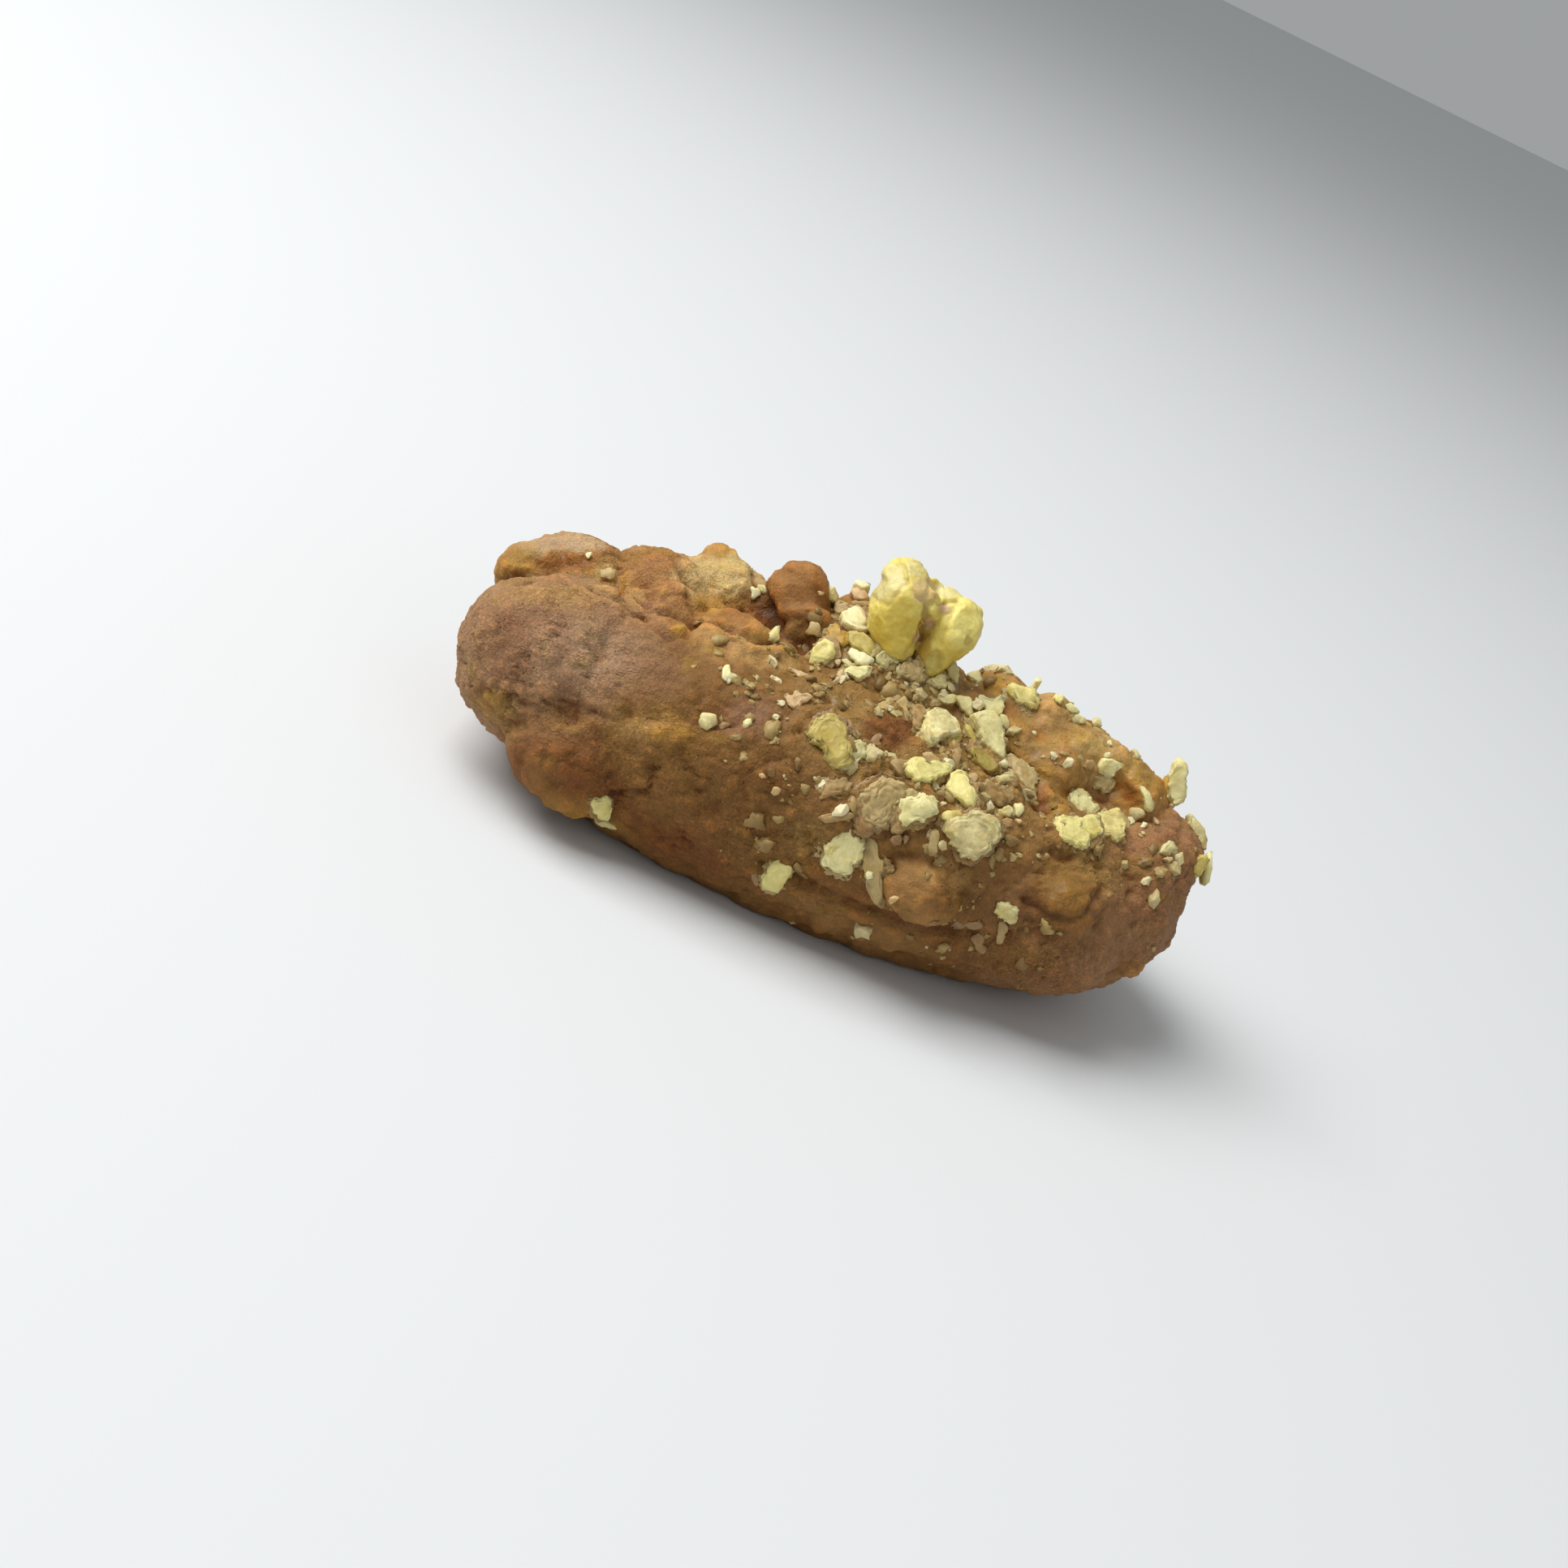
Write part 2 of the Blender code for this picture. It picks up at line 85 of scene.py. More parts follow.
class Tone(Enum):
    """Colours of the baked dough after its soak in honey syrup."""

    UMBER = (0.195, 0.094, 0.024)
    MAUVE = (0.325, 0.192, 0.100)
    RUSSET = (0.30, 0.145, 0.045)
    CHESTNUT = (0.170, 0.064, 0.015)
    BROWN = (0.25, 0.13, 0.034)
    TAN = (0.40, 0.235, 0.078)
    PASTE = (0.33, 0.205, 0.064)
    SAND = (0.47, 0.33, 0.12)
    STRAW = (0.54, 0.39, 0.17)
    ORANGE = (0.35, 0.185, 0.045)
    CARAMEL = (0.28, 0.155, 0.050)
    HONEY = (0.42, 0.24, 0.042)
    ROSE = (0.30, 0.160, 0.072)
    COCOA = (0.150, 0.070, 0.014)
    FAWN = (0.245, 0.126, 0.062)
    AMBER = (0.40, 0.215, 0.045)
    CLAY = (0.36, 0.195, 0.074)
    BISCUIT = (0.47, 0.33, 0.19)
    DUSK = (0.35, 0.222, 0.130)
    OCHRE = (0.31, 0.18, 0.040)
    EMBER = (0.27, 0.115, 0.024)


class NutTone(Enum):
    """Colours of broken walnut, from clean kernel to what the syrup has soaked."""

    CREAM = (0.84, 0.76, 0.43)
    PALE = (0.78, 0.70, 0.33)
    BRIGHT = (0.78, 0.68, 0.25)
    YELLOW = (0.56, 0.45, 0.12)
    OLIVE = (0.38, 0.30, 0.06)
    GREY = (0.66, 0.58, 0.27)
    HAZE = (0.48, 0.35, 0.145)
    SOAKED = (0.39, 0.25, 0.092)
    PASTE = (0.34, 0.205, 0.070)
    SYRUP = (0.50, 0.30, 0.04)
    HUSK = (0.31, 0.19, 0.08)
    SKIN = (0.62, 0.42, 0.21)
    GOLD = (0.79, 0.65, 0.16)
    LEMON = (0.90, 0.78, 0.24)
    OCHRE = (0.72, 0.54, 0.075)


@dataclass(frozen=True)
class Break:
    """How a piece of nut breaks.

    Attributes:
        facets: how many flat breaks it has.
        crumble: depth of its rough relief.
        boxiness: 2 is a round side, more is a steeper one.
        sink: share of its height that is set in the dough.
    """

    facets: int
    crumble: float
    boxiness: float
    sink: float


class NutKind(Enum):
    """Kinds of chopped walnut."""

    SLAB = Break(1, 0.20, 7.0, 0.3)
    CHUNK = Break(2, 0.26, 5.5, 0.3)
    CRUMBLY = Break(1, 0.44, 4.0, 0.3)
    FLAKE = Break(0, 0.26, 3.0, 0.45)
    PASTE = Break(0, 0.30, 3.0, 0.4)


@dataclass(frozen=True)
class Grain:
    """One kind of relief: how far apart its forms are, and how deep."""

    size: float
    depth: float


@dataclass(frozen=True)
class Lobe:
    """One rounded swelling: an ellipsoid turned about Z."""

    name: str
    centre: Place
    radii: Place
    turn: float = 0.0
    tone: Tone = Tone.UMBER

    def level(self, points: np.ndarray) -> np.ndarray:
        """Says how far out of the lobe each point is: 1 on its skin, less inside it.

        Args:
            points: one row for each point.

        Returns:
            One number for each point.
        """
        angle = math.radians(self.turn)
        x, y, z = (points - np.array(self.centre)).T
        along = x * math.cos(angle) + y * math.sin(angle)
        across = y * math.cos(angle) - x * math.sin(angle)
        parts = [part / radius for part, radius in zip((along, across, z), self.radii)]
        return np.sqrt(sum(part**2 for part in parts))

    def add_to(self, shape: bmesh.types.BMesh) -> None:
        """Adds the ellipsoid to shape."""
        place = Matrix.Translation(Vector(self.centre) * MM)
        turn = Matrix.Rotation(math.radians(self.turn), 4, "Z")
        radii = Matrix.Diagonal((*(Vector(self.radii) * MM), 1))
        bmesh.ops.create_icosphere(shape, subdivisions=4, radius=1, matrix=place @ turn @ radii)


@dataclass(frozen=True)
class Crease:
    """A fold that is pressed in along a path.

    Its path and width are in millimetres, or in pixels of the main picture where it is read there.
    """

    name: str
    path: tuple[Union[Place, Pixel], ...]
    depth: float
    width: float

    def depth_at(self, points: np.ndarray) -> np.ndarray:
        """Says how deep the fold is at each point.

        Args:
            points: one row for each point.

        Returns:
            One depth for each point.
        """
        nearest = np.full(len(points), np.inf)
        for start, end in zip(self.path[:-1], self.path[1:]):
            start, run = np.array(start), np.subtract(end, start)
            share = np.clip((points - start) @ run / (run @ run), 0, 1)
            beside = start + share[:, None] * run
            nearest = np.minimum(nearest, np.linalg.norm(points - beside, axis=1))
        return self.depth * np.exp(-((nearest / self.width) ** 2))


@dataclass(frozen=True)
class Spot:
    """A place on the dough that fades out round its centre."""

    name: str
    centre: Place
    radii: Place

    def weight(self, points: np.ndarray) -> np.ndarray:
        """Fades from 1 at the centre to 0 outside it, for each row of points."""
        away = (points - np.array(self.centre)) / np.array(self.radii)
        return np.exp(-((away**2).sum(axis=1) ** 1.5))


@dataclass(frozen=True)
class Patch(Spot):
    """A spot with a look of its own. On some spots that look is painted shade.

    Attributes:
        tone: its colour.
        cover: how much of the colour below it hides.
        coarse: how much rougher its relief is.
        syrup: how wet it is.
    """

    tone: Tone
    cover: float = 0.8
    coarse: float = 0.0
    syrup: float = 0.0


@dataclass(frozen=True)
class Tint:
    """A spot of another colour, read in the main picture. Some of them are painted light or painted
    shade.

    Attributes:
        middle: its middle, in pixels.
        reach: half its width and half its height, in pixels.
        tone: its colour.
        cover: how much of the colour below it hides.
        bare: how much of the crumbs it keeps off.
        fade: how wide its soft edge is, as a share of its reach.
    """

    name: str
    middle: Pixel
    reach: Pixel
    tone: Union[Tone, NutTone]
    cover: float
    bare: float = 0.0
    fade: float = 0.4

    def weight(self, pixels: np.ndarray) -> np.ndarray:
        """Gives 1 inside the spot and 0 outside it, with a soft edge, for each row of pixels."""
        away = np.linalg.norm((pixels - np.array(self.middle)) / np.array(self.reach), axis=1)
        return np.clip((1 + self.fade / 2 - away) / self.fade, 0, 1)


@dataclass(frozen=True)
class Flat:
    """A flat break of the large walnut piece.

    Attributes:
        middle: a place on it.
        way: the way it faces.
        reach: how far from its middle it cuts.
        border: how wide its soft edge is, as a share of its reach.
        force: how flat it is, from 0 to 1.
    """

    name: str
    middle: Place
    way: Place
    reach: float
    border: float = 0.35
    force: float = 0.85

    def cut(self, points: np.ndarray) -> np.ndarray:
        """Brings what stands out of the break back to it.

        Args:
            points: one row for each.

        Returns:
            The points after the break.
        """
        way = np.array(self.way) / np.linalg.norm(self.way)
        away = points - np.array(self.middle)
        out = away @ way
        beside = np.linalg.norm(away - out[:, None] * way, axis=1)
        share = np.clip((self.reach - beside) / (self.border * self.reach), 0, 1)
        return points - (np.clip(out, 0, None) * share * self.force)[:, None] * way


@dataclass(frozen=True)
class Drying(Spot):
    """A spot where the skin has dried.

    Attributes:
        sandy: how grainy it is.
        along: how deep the fine crinkles along the biscuit are.
        across: how deep those round it are.
    """

    sandy: float
    along: float = 0.0
    across: float = 0.0


@dataclass(frozen=True)
class Strewing(Spot):
    """A spot that is strewn with crumbs.

    Attributes:
        pale: how thickly with clean walnut crumbs.
        soaked: how thickly with crumbs that the syrup has soaked.
    """

    pale: float
    soaked: float


@dataclass(frozen=True)
class Nut:
    """One piece of chopped walnut that shows in the main picture.

    Attributes:
        height: how thick it is, in millimetres.
        outline: its edge, in pixels across and down the main picture.
        lean: 0 lies flat on the dough and 1 faces the camera.
        lift: how far it lies above the dough, on other pieces.
    """

    name: str
    kind: NutKind
    height: float
    tone: NutTone
    outline: tuple[Pixel, ...]
    lean: float = 0.3
    lift: float = 0.0


DOUGH_LOBES = (
    Lobe("left_front", (-27.0, -5.4, 10.9), (9.8, 9.2, 8.4), -6, Tone.MAUVE),
    Lobe("left_corner", (-32.7, 5.4, 13.5), (4.2, 4.4, 4.0), 0, Tone.ORANGE),
    Lobe("left_ridge", (-28.0, 7.4, 14.4), (6.0, 5.0, 4.4), 0, Tone.RUSSET),
    Lobe("ridge_top", (-21.5, 8.9, 16.0), (5.8, 5.0, 4.3), 0, Tone.ORANGE),
    Lobe("red_lump", (-20.8, 3.6, 18.6), (3.7, 3.5, 3.5), 0, Tone.RUSSET),
    Lobe("red_lump_foot", (-19.6, -0.8, 18.6), (3.5, 2.6, 2.5), -20, Tone.RUSSET),
    Lobe("tan_ridge", (-16.0, 7.4, 19.2), (4.8, 4.4, 3.7), 0, Tone.STRAW),
    Lobe("ridge_pip", (-17.6, 8.4, 21.9), (1.9, 1.8, 1.4), 0, Tone.ORANGE),
    Lobe("crumbly_patch", (-12.6, 4.4, 19.2), (2.9, 2.8, 2.4), 0, Tone.UMBER),
    Lobe("red_ball", (-9.8, 4.6, 22.4), (3.5, 3.3, 4.2), 0, Tone.RUSSET),
    Lobe("red_ball_foot", (-8.4, 1.6, 20.8), (3.3, 2.6, 3.4), 0, Tone.RUSSET),
    Lobe("small_ball", (-4.2, 5.2, 23.6), (1.9, 2.0, 2.2), 0, Tone.ORANGE),
    Lobe("crown", (0.0, 3.8, 16.2), (12.0, 9.6, 8.4), 0, Tone.UMBER),
    Lobe("right_crown", (12.0, 2.6, 14.6), (11.0, 9.4, 8.4), 0, Tone.BROWN),
    Lobe("tan_lobe", (-13.0, -3.6, 18.2), (5.8, 4.2, 3.9), -10, Tone.TAN),
    Lobe("low_left", (-22.8, -12.4, 6.8), (6.0, 5.2, 5.2), -10, Tone.CHESTNUT),
    Lobe("front_belly", (-8.8, -10.4, 10.6), (12.0, 7.2, 7.6), 0, Tone.UMBER),
    Lobe("right_hump", (12.8, 4.6, 20.2), (4.9, 4.8, 4.2), 10, Tone.TAN),
    Lobe("orange_lobe", (17.9, -0.6, 18.6), (3.5, 3.6, 4.2), 0, Tone.ORANGE),
    Lobe("second_hump", (20.0, 3.4, 19.9), (5.0, 4.6, 4.2), 0, Tone.TAN),
    Lobe("saddle", (16.8, 4.2, 21.1), (3.8, 4.0, 3.7), 0, Tone.TAN),
    Lobe("ridge_fill", (23.2, 3.1, 19.8), (3.4, 3.8, 3.4), 0, Tone.TAN),
    Lobe("upper_right", (26.6, 2.8, 18.2), (3.9, 4.6, 4.5), 0, Tone.ORANGE),
    Lobe("right_tip", (31.3, 0.4, 15.4), (4.4, 4.9, 4.9), 0, Tone.ROSE),
    Lobe("front_lump", (9.6, -16.2, 10.2), (4.3, 3.6, 3.1), -8, Tone.CARAMEL),
    Lobe("disc_lump", (22.2, -12.8, 13.0), (3.9, 3.6, 3.4), 8, Tone.UMBER),
    Lobe("foot_band", (7.4, -11.8, 7.6), (15.0, 6.0, 5.4), 0, Tone.UMBER),
    Lobe("right_foot", (21.8, -8.2, 9.0), (9.2, 7.8, 6.9), 8, Tone.ROSE),
    Lobe("right_cap", (29.0, -2.4, 11.2), (6.5, 8.0, 7.8), 0, Tone.ROSE),
    Lobe("foot_pip", (31.4, -7.8, 8.4), (1.9, 1.9, 1.9), 0, Tone.ORANGE),
    Lobe("back_belly", (-2.0, 11.4, 10.4), (13.0, 7.4, 8.4), 4, Tone.UMBER),
    Lobe("back_left", (-22.0, 10.2, 9.0), (9.0, 6.8, 6.8), -14, Tone.MAUVE),
    Lobe("back_right", (17.5, 11.2, 10.0), (9.5, 6.6, 7.4), -10, Tone.UMBER),
    Lobe("back_lump", (7.5, 15.6, 13.2), (4.2, 3.2, 3.5), 10, Tone.ORANGE),
    Lobe("back_pip", (-12.5, 15.2, 12.8), (3.2, 3.0, 3.0), 0, Tone.RUSSET),
)

DOUGH_CREASES = (
    Crease("ledge", ((-33.5, -3.5, 17), (-30.4, -4.2, 18.7), (-26.2, -5, 19.3),
        (-22.5, -5.8, 19)), 1.0, 0.6),
    Crease("trench", ((-32.5, 1.2, 17.4), (-29.6, 0.6, 18.2), (-26.4, 0.2, 18.8)), 1.2, 1.2),
    Crease("lump_foot", ((-24.6, -1.2, 18.8), (-21.6, -4.6, 19.4), (-18.2, -3.8, 20.2)), 0.7, 0.5),
    Crease("front_lump_edge", ((5.4, -18.0, 10.6), (6.4, -17.4, 13.0), (10.2, -16.6, 14.0)), 0.5, 0.5),
    Crease("low_left_fold", ((-30.6, -13.5, 9), (-27, -14.5, 11), (-23.5, -15, 11.8),
        (-20, -15.4, 14)), 0.15, 0.6),
    Crease("mid_fold", ((-20, -15.4, 14), (-16, -15.3, 15.9), (-11, -14.5, 17)), 0.4, 0.9),
    Crease("crumbly_hollow", ((-13.4, 2.4, 21.6), (-11.6, 0.6, 21.4), (-8.6, 0.2, 22)), 1.3, 1.3),
    Crease("orange_fold", ((12.5, -2.3, 21.7), (13.9, -3.8, 20.8), (15.8, -5.8, 19.8),
        (17.2, -8, 19)), 0.9, 0.9),
    Crease("right_fold", ((24, 3, 21.5), (23.6, -1, 20.5), (24.6, -4.5, 19)), 0.8, 0.8),
    Crease("foot_ledge", ((-4, -17, 6.6), (5.6, -17.7, 6.9), (10, -17.7, 7.4),
        (15.8, -16.7, 8.7)), 0.8, 0.7),
    Crease("end_wrinkle", ((26.9, -7.4, 17.3), (28.5, -9.5, 15.6), (30.1, -10.4, 13.2)), 0.3, 0.6),
    Crease("belly_crease", ((-14.3, -17, 12.8), (-12, -17.8, 11), (-9.8, -17.9, 9.9)), 0.5, 0.8),
    Crease("back_fold", ((-16, 16, 14), (-6, 18, 9.4), (6, 18, 7.2)), 0.9, 0.8),
    Crease("back_split", ((10, 13, 17), (13, 17, 11.6), (12, 17.8, 6)), 0.9, 0.6),
)

DOUGH_FURROWS = (
    Crease("left_rim", ((598, 722), (640, 712), (690, 703), (735, 709), (765, 720)), 0.9, 6.0),
    Crease("red_lump_edge", ((762, 700), (766, 735), (790, 757), (826, 782), (846, 780)), 0.6, 5.0),
    Crease("red_lump_side", ((850, 780), (856, 752), (846, 712), (832, 688)), 0.4, 5.0),
    Crease("lump_split", ((772, 722), (786, 716), (800, 726), (803, 742)), 0.3, 4.0),
    Crease("tan_lobe_edge", ((856, 764), (879, 761), (901, 770), (932, 787), (962, 789)), 0.9, 5.0),
    Crease("crumbly_gap", ((868, 748), (890, 752), (915, 762)), 0.6, 9.0),
    Crease("red_ball_edge", ((934, 700), (936, 726), (945, 757), (962, 784), (998, 797)), 0.6, 6.0),
    Crease("low_left_edge", ((585, 854), (613, 847), (646, 871), (674, 866), (714, 871),
        (764, 890)), 0.2, 4.0),
    Crease("crack", ((756, 979), (778, 975), (801, 974), (804, 962), (800, 950), (812, 948)), 0.5, 2.6),
    Crease("honey_fissure", ((1250, 925), (1270, 948), (1284, 966), (1289, 1000)), 0.6, 5.0),
    Crease("ridge_fissure", ((1376, 962), (1390, 975), (1402, 992)), 0.5, 6.0),
    Crease("below_bright", ((1300, 1048), (1306, 1058), (1322, 1056)), 0.4, 5.0),
    Crease("disc_rim", ((1356, 1058), (1362, 1087), (1351, 1112), (1333, 1129), (1314, 1135),
        (1290, 1131), (1264, 1109)), 0.6, 5.0),
)

STAINS = (
    Tint("ridge", (690, 668), (90, 12), Tone.BISCUIT, 0.9, 0.3, 0.9),
    Tint("ridge_left", (636, 688), (26, 24), Tone.OCHRE, 0.75, 0.5, 0.9),
    # painted shade in the trench behind the left lobe's rim, over its dark orange
    Tint("recess", (694, 691), (40, 11), Tone.EMBER, 0.9, 0.8, 0.6),
    Tint("yellow_chink", (748, 704), (14, 18), Tone.SAND, 0.7, 0.3, 0.8),
    Tint("red_lump", (804, 735), (44, 50), Tone.CLAY, 0.55, 0.8, 0.5),
    Tint("lump_pip", (785, 735), (14, 12), Tone.TAN, 0.5, 0.5, 0.8),
    Tint("lump_foot", (838, 775), (14, 9), Tone.HONEY, 0.8, 0.5, 0.8),
    Tint("tan_ridge", (884, 706), (50, 28), Tone.STRAW, 0.95, 0.3, 0.5),
    Tint("ridge_cap", (886, 679), (24, 8), Tone.AMBER, 0.7, 0.3, 0.8),
    Tint("lemon_chink", (916, 715), (11, 10), Tone.STRAW, 0.7, 0.0, 0.8),
    # painted shade in the gap above the tan lobe's edge
    Tint("crumbly_gap", (908, 757), (34, 20), Tone.EMBER, 0.8, 0.6, 0.7),
    Tint("orange_chink", (879, 745), (11, 9), Tone.AMBER, 0.8, 0.8, 0.8),
    Tint("tan_lobe", (898, 792), (48, 26), Tone.TAN, 0.5, 0.2, 0.8),
    Tint("lobe_spot", (879, 800), (11, 10), Tone.OCHRE, 0.6, 0.5, 0.8),
    Tint("olive_spot", (849, 818), (10, 9), Tone.OCHRE, 0.7, 0.5, 0.8),
    Tint("left_rim", (692, 730), (76, 15), Tone.TAN, 0.6, 0.5, 1.0),
    Tint("left_grey", (722, 805), (70, 38), Tone.DUSK, 0.8, 0.9, 1.0),
    Tint("left_red", (622, 808), (26, 44), Tone.FAWN, 0.7, 0.9, 1.0),
    Tint("left_olive", (806, 822), (34, 44), Tone.FAWN, 0.6, 0.5, 1.0),
    Tint("left_foot", (606, 865), (22, 14), Tone.OCHRE, 0.6, 0.9, 1.0),
    Tint("low_tan", (690, 892), (44, 16), Tone.CARAMEL, 0.5, 0.9, 1.0),
    Tint("low_rim", (668, 950), (22, 24), Tone.BROWN, 0.4, 0.9, 1.0),
    Tint("low_honey", (706, 893), (20, 5), Tone.AMBER, 0.4, 0.9, 0.8),
    # painted light that lightens the shade in the low fold
    Tint("fold_light", (786, 893), (36, 22), Tone.TAN, 0.6, 0.7, 1.0),
    Tint("low_belly", (780, 935), (36, 26), Tone.BROWN, 0.6, 0.9, 1.0),
    Tint("yellow_fold", (826, 903), (22, 9), Tone.HONEY, 0.5, 0.7, 1.0),
    Tint("yellow_streak", (881, 911), (12, 7), Tone.OCHRE, 0.8, 0.6, 0.8),
    Tint("grey_belly", (928, 884), (34, 24), Tone.FAWN, 0.9, 0.5, 1.0),
    # darker on the lower front: partly the dough's own brown, partly painted shade
    Tint("brown_belly", (900, 985), (60, 42), Tone.UMBER, 0.6, 0.6, 1.0),
    # painted shade in the hollow between the nuts
    Tint("nut_hollow", (1096, 900), (34, 24), Tone.CHESTNUT, 0.9, 0.95, 0.6),
    Tint("paste_belly", (1000, 985), (32, 24), Tone.UMBER, 0.7, 0.6, 1.0),
    # painted light that lightens the shadow the walnut piece casts on the dough
    Tint("under_walnut", (1152, 838), (40, 28), Tone.SAND, 0.5, 0.0, 1.0),
    Tint("honey_side", (1228, 845), (14, 12), Tone.HONEY, 0.85, 0.8, 0.8),
    # painted shade in the hollow beside the wedge
    Tint("wedge_hollow", (1245, 875), (12, 11), Tone.EMBER, 0.7, 0.8, 0.8),
    Tint("hump_face", (1296, 895), (36, 32), Tone.TAN, 0.6, 0.6, 1.0),
    Tint("hump_ochre", (1286, 918), (14, 9), Tone.OCHRE, 0.7, 0.8, 0.8),
    Tint("hump_olive", (1330, 905), (22, 9), Tone.HONEY, 0.5, 0.3, 0.8),
    Tint("honey_streak", (1258, 932), (11, 9), Tone.AMBER, 0.85, 0.9, 0.8),
    Tint("honey_middle", (1282, 955), (13, 17), Tone.OCHRE, 0.9, 0.9, 0.7),
    Tint("honey_foot", (1302, 988), (12, 17), Tone.OCHRE, 0.9, 0.9, 0.7),
    # painted shade in the fissure
    Tint("fissure", (1284, 986), (8, 22), Tone.EMBER, 0.8, 0.95, 0.7),
    Tint("hump_low", (1340, 960), (40, 30), Tone.TAN, 0.6, 0.6, 1.0),
    Tint("tan_web", (1365, 985), (20, 13), Tone.CARAMEL, 0.8, 0.7, 0.8),
    Tint("ridge_honey", (1410, 956), (20, 10), Tone.OCHRE, 0.8, 0.7, 0.7),
    Tint("front_tan", (1150, 1075), (24, 18), Tone.TAN, 0.5, 0.0, 1.0),
    # painted shade in the ridge's fissure
    Tint("ridge_fissure", (1390, 978), (13, 16), Tone.EMBER, 0.8, 0.9, 0.7),
    # painted shade in the crease below the bright pieces of nut
    Tint("below_bright", (1308, 1054), (16, 8), Tone.COCOA, 0.9, 0.9, 0.8),
    Tint("disc", (1320, 1084), (38, 40), Tone.OCHRE, 0.35, 0.7, 0.5),
    Tint("disc_low", (1310, 1122), (40, 14), Tone.UMBER, 0.6, 0.7, 0.8),
    Tint("dark_front", (1182, 1110), (30, 20), Tone.COCOA, 0.8, 0.5, 1.0),
    Tint("cap_hollow", (1436, 1108), (9, 7), Tone.OCHRE, 0.7, 0.8, 0.8),
)

PATCHES = (
    Patch("orange_ledge", (-30.0, 4.5, 18.0), (3.4, 3.0, 2.6), Tone.ORANGE, 0.8, 0.3, 0.6),
    Patch("yellow_gap", (-25.6, 0.8, 18.6), (1.7, 2.4, 2.4), Tone.HONEY, 0.9, 0.2, 0.5),
    Patch("yellow_below_ridge", (-17.0, 1.4, 20.2), (2.0, 3.2, 2.4), Tone.HONEY, 0.8, 0.6, 0.5),
    Patch("crumbly_dark", (-12.9, 3.1, 20.4), (2.6, 2.6, 2.2), Tone.UMBER, 0.7, 1.6, 0.1),
    Patch("yellow_fold", (-16.6, -15.6, 14.4), (3.2, 1.8, 1.5), Tone.HONEY, 0.5, 0.3, 0.3),
    Patch("left_underside", (-20.0, -16.0, 3.0), (5.0, 3.0, 2.4), Tone.HONEY, 0.5, 0.4, 0.2),
    Patch("nut_field", (5.5, -8.5, 20.0), (14.0, 8.5, 6.5), Tone.PASTE, 0.7, 0.8, 0.4),
    Patch("hump_side", (13.2, -2.2, 21.2), (2.2, 2.6, 2.2), Tone.HONEY, 0.7, 0.2, 0.6),
    Patch("hump_top", (19.5, 2.6, 23.2), (6.5, 4.0, 3.0), Tone.SAND, 0.75, 0.0, 0.5),
    Patch("hump_front", (16.5, -2.6, 22.0), (3.6, 2.6, 2.4), Tone.CARAMEL, 0.8, 0.1, 0.6),
    Patch("orange_side", (18.6, -4.6, 20.0), (1.8, 1.6, 2.4), Tone.AMBER, 0.8, 0.1, 0.8),
    Patch("right_ridge", (25.9, 0.6, 21.0), (2.6, 3.0, 2.6), Tone.HONEY, 0.6, 0.2, 0.8),
    Patch("paste_left", (2.0, -14.4, 17.0), (4.2, 3.6, 3.0), Tone.PASTE, 0.7, 1.6, 0.2),
    Patch("paste_right", (11.6, -11.0, 19.0), (4.0, 3.8, 2.8), Tone.PASTE, 0.7, 1.6, 0.2),
    Patch("torn_belly", (-5.0, -17.4, 9.0), (5.0, 2.6, 3.4), Tone.BROWN, 0.5, 1.0, 0.1),
    Patch("right_paste", (22.0, -9.0, 18.4), (4.0, 3.4, 2.6), Tone.PASTE, 0.5, 1.0, 0.3),
    Patch("pale_foot", (6.0, -16.8, 4.4), (8.0, 2.2, 1.6), Tone.TAN, 0.3, 0.0, 0.0),
    Patch("left_high", (-31.6, -11.0, 15.2), (2.6, 4.0, 2.6), Tone.FAWN, 0.8, 0.0, 0.0),
    Patch("left_low", (-30.4, -13.0, 7.8), (3.0, 2.6, 2.4), Tone.OCHRE, 0.6, 0.0, 0.1),
    # painted shade low on the front, under the belly
    Patch("under_left", (-11.6, -16.0, 4.4), (6.0, 2.8, 2.6), Tone.CHESTNUT, 0.95, 0.4, 0.0),
    # painted shade on the disc lump's upper face, which the lamp lights
    Patch("disc_face", (21.2, -14.4, 15.4), (2.8, 2.6, 1.8), Tone.COCOA, 0.8, 0.2, 0.3),
    # painted shade under the disc lump
    Patch("disc_below", (21.4, -16.0, 12.0), (2.6, 1.8, 1.8), Tone.COCOA, 0.7, 0.2, 0.2),
    Patch("right_low", (20.2, -16.0, 7.6), (5.0, 2.4, 2.4), Tone.UMBER, 0.8, 0.2, 0.0),
    Patch("right_dark", (28.2, -7.4, 17.0), (2.2, 2.2, 1.8), Tone.BROWN, 0.8, 0.3, 0.3),
    Patch("mid_paste", (-0.9, -17.4, 11.4), (2.6, 2.0, 2.2), Tone.PASTE, 0.8, 1.2, 0.2),
    Patch("side_paste", (13.4, -16.4, 12.6), (2.4, 2.2, 2.4), Tone.CARAMEL, 0.7, 0.8, 0.4),
    Patch("right_slope", (24.6, -10.6, 16.6), (2.4, 2.0, 1.6), Tone.PASTE, 0.8, 0.8, 0.3),
    Patch("back_crumbs", (4.0, 10.0, 20.0), (7.0, 4.0, 3.0), Tone.TAN, 0.5, 1.0, 0.1),
)

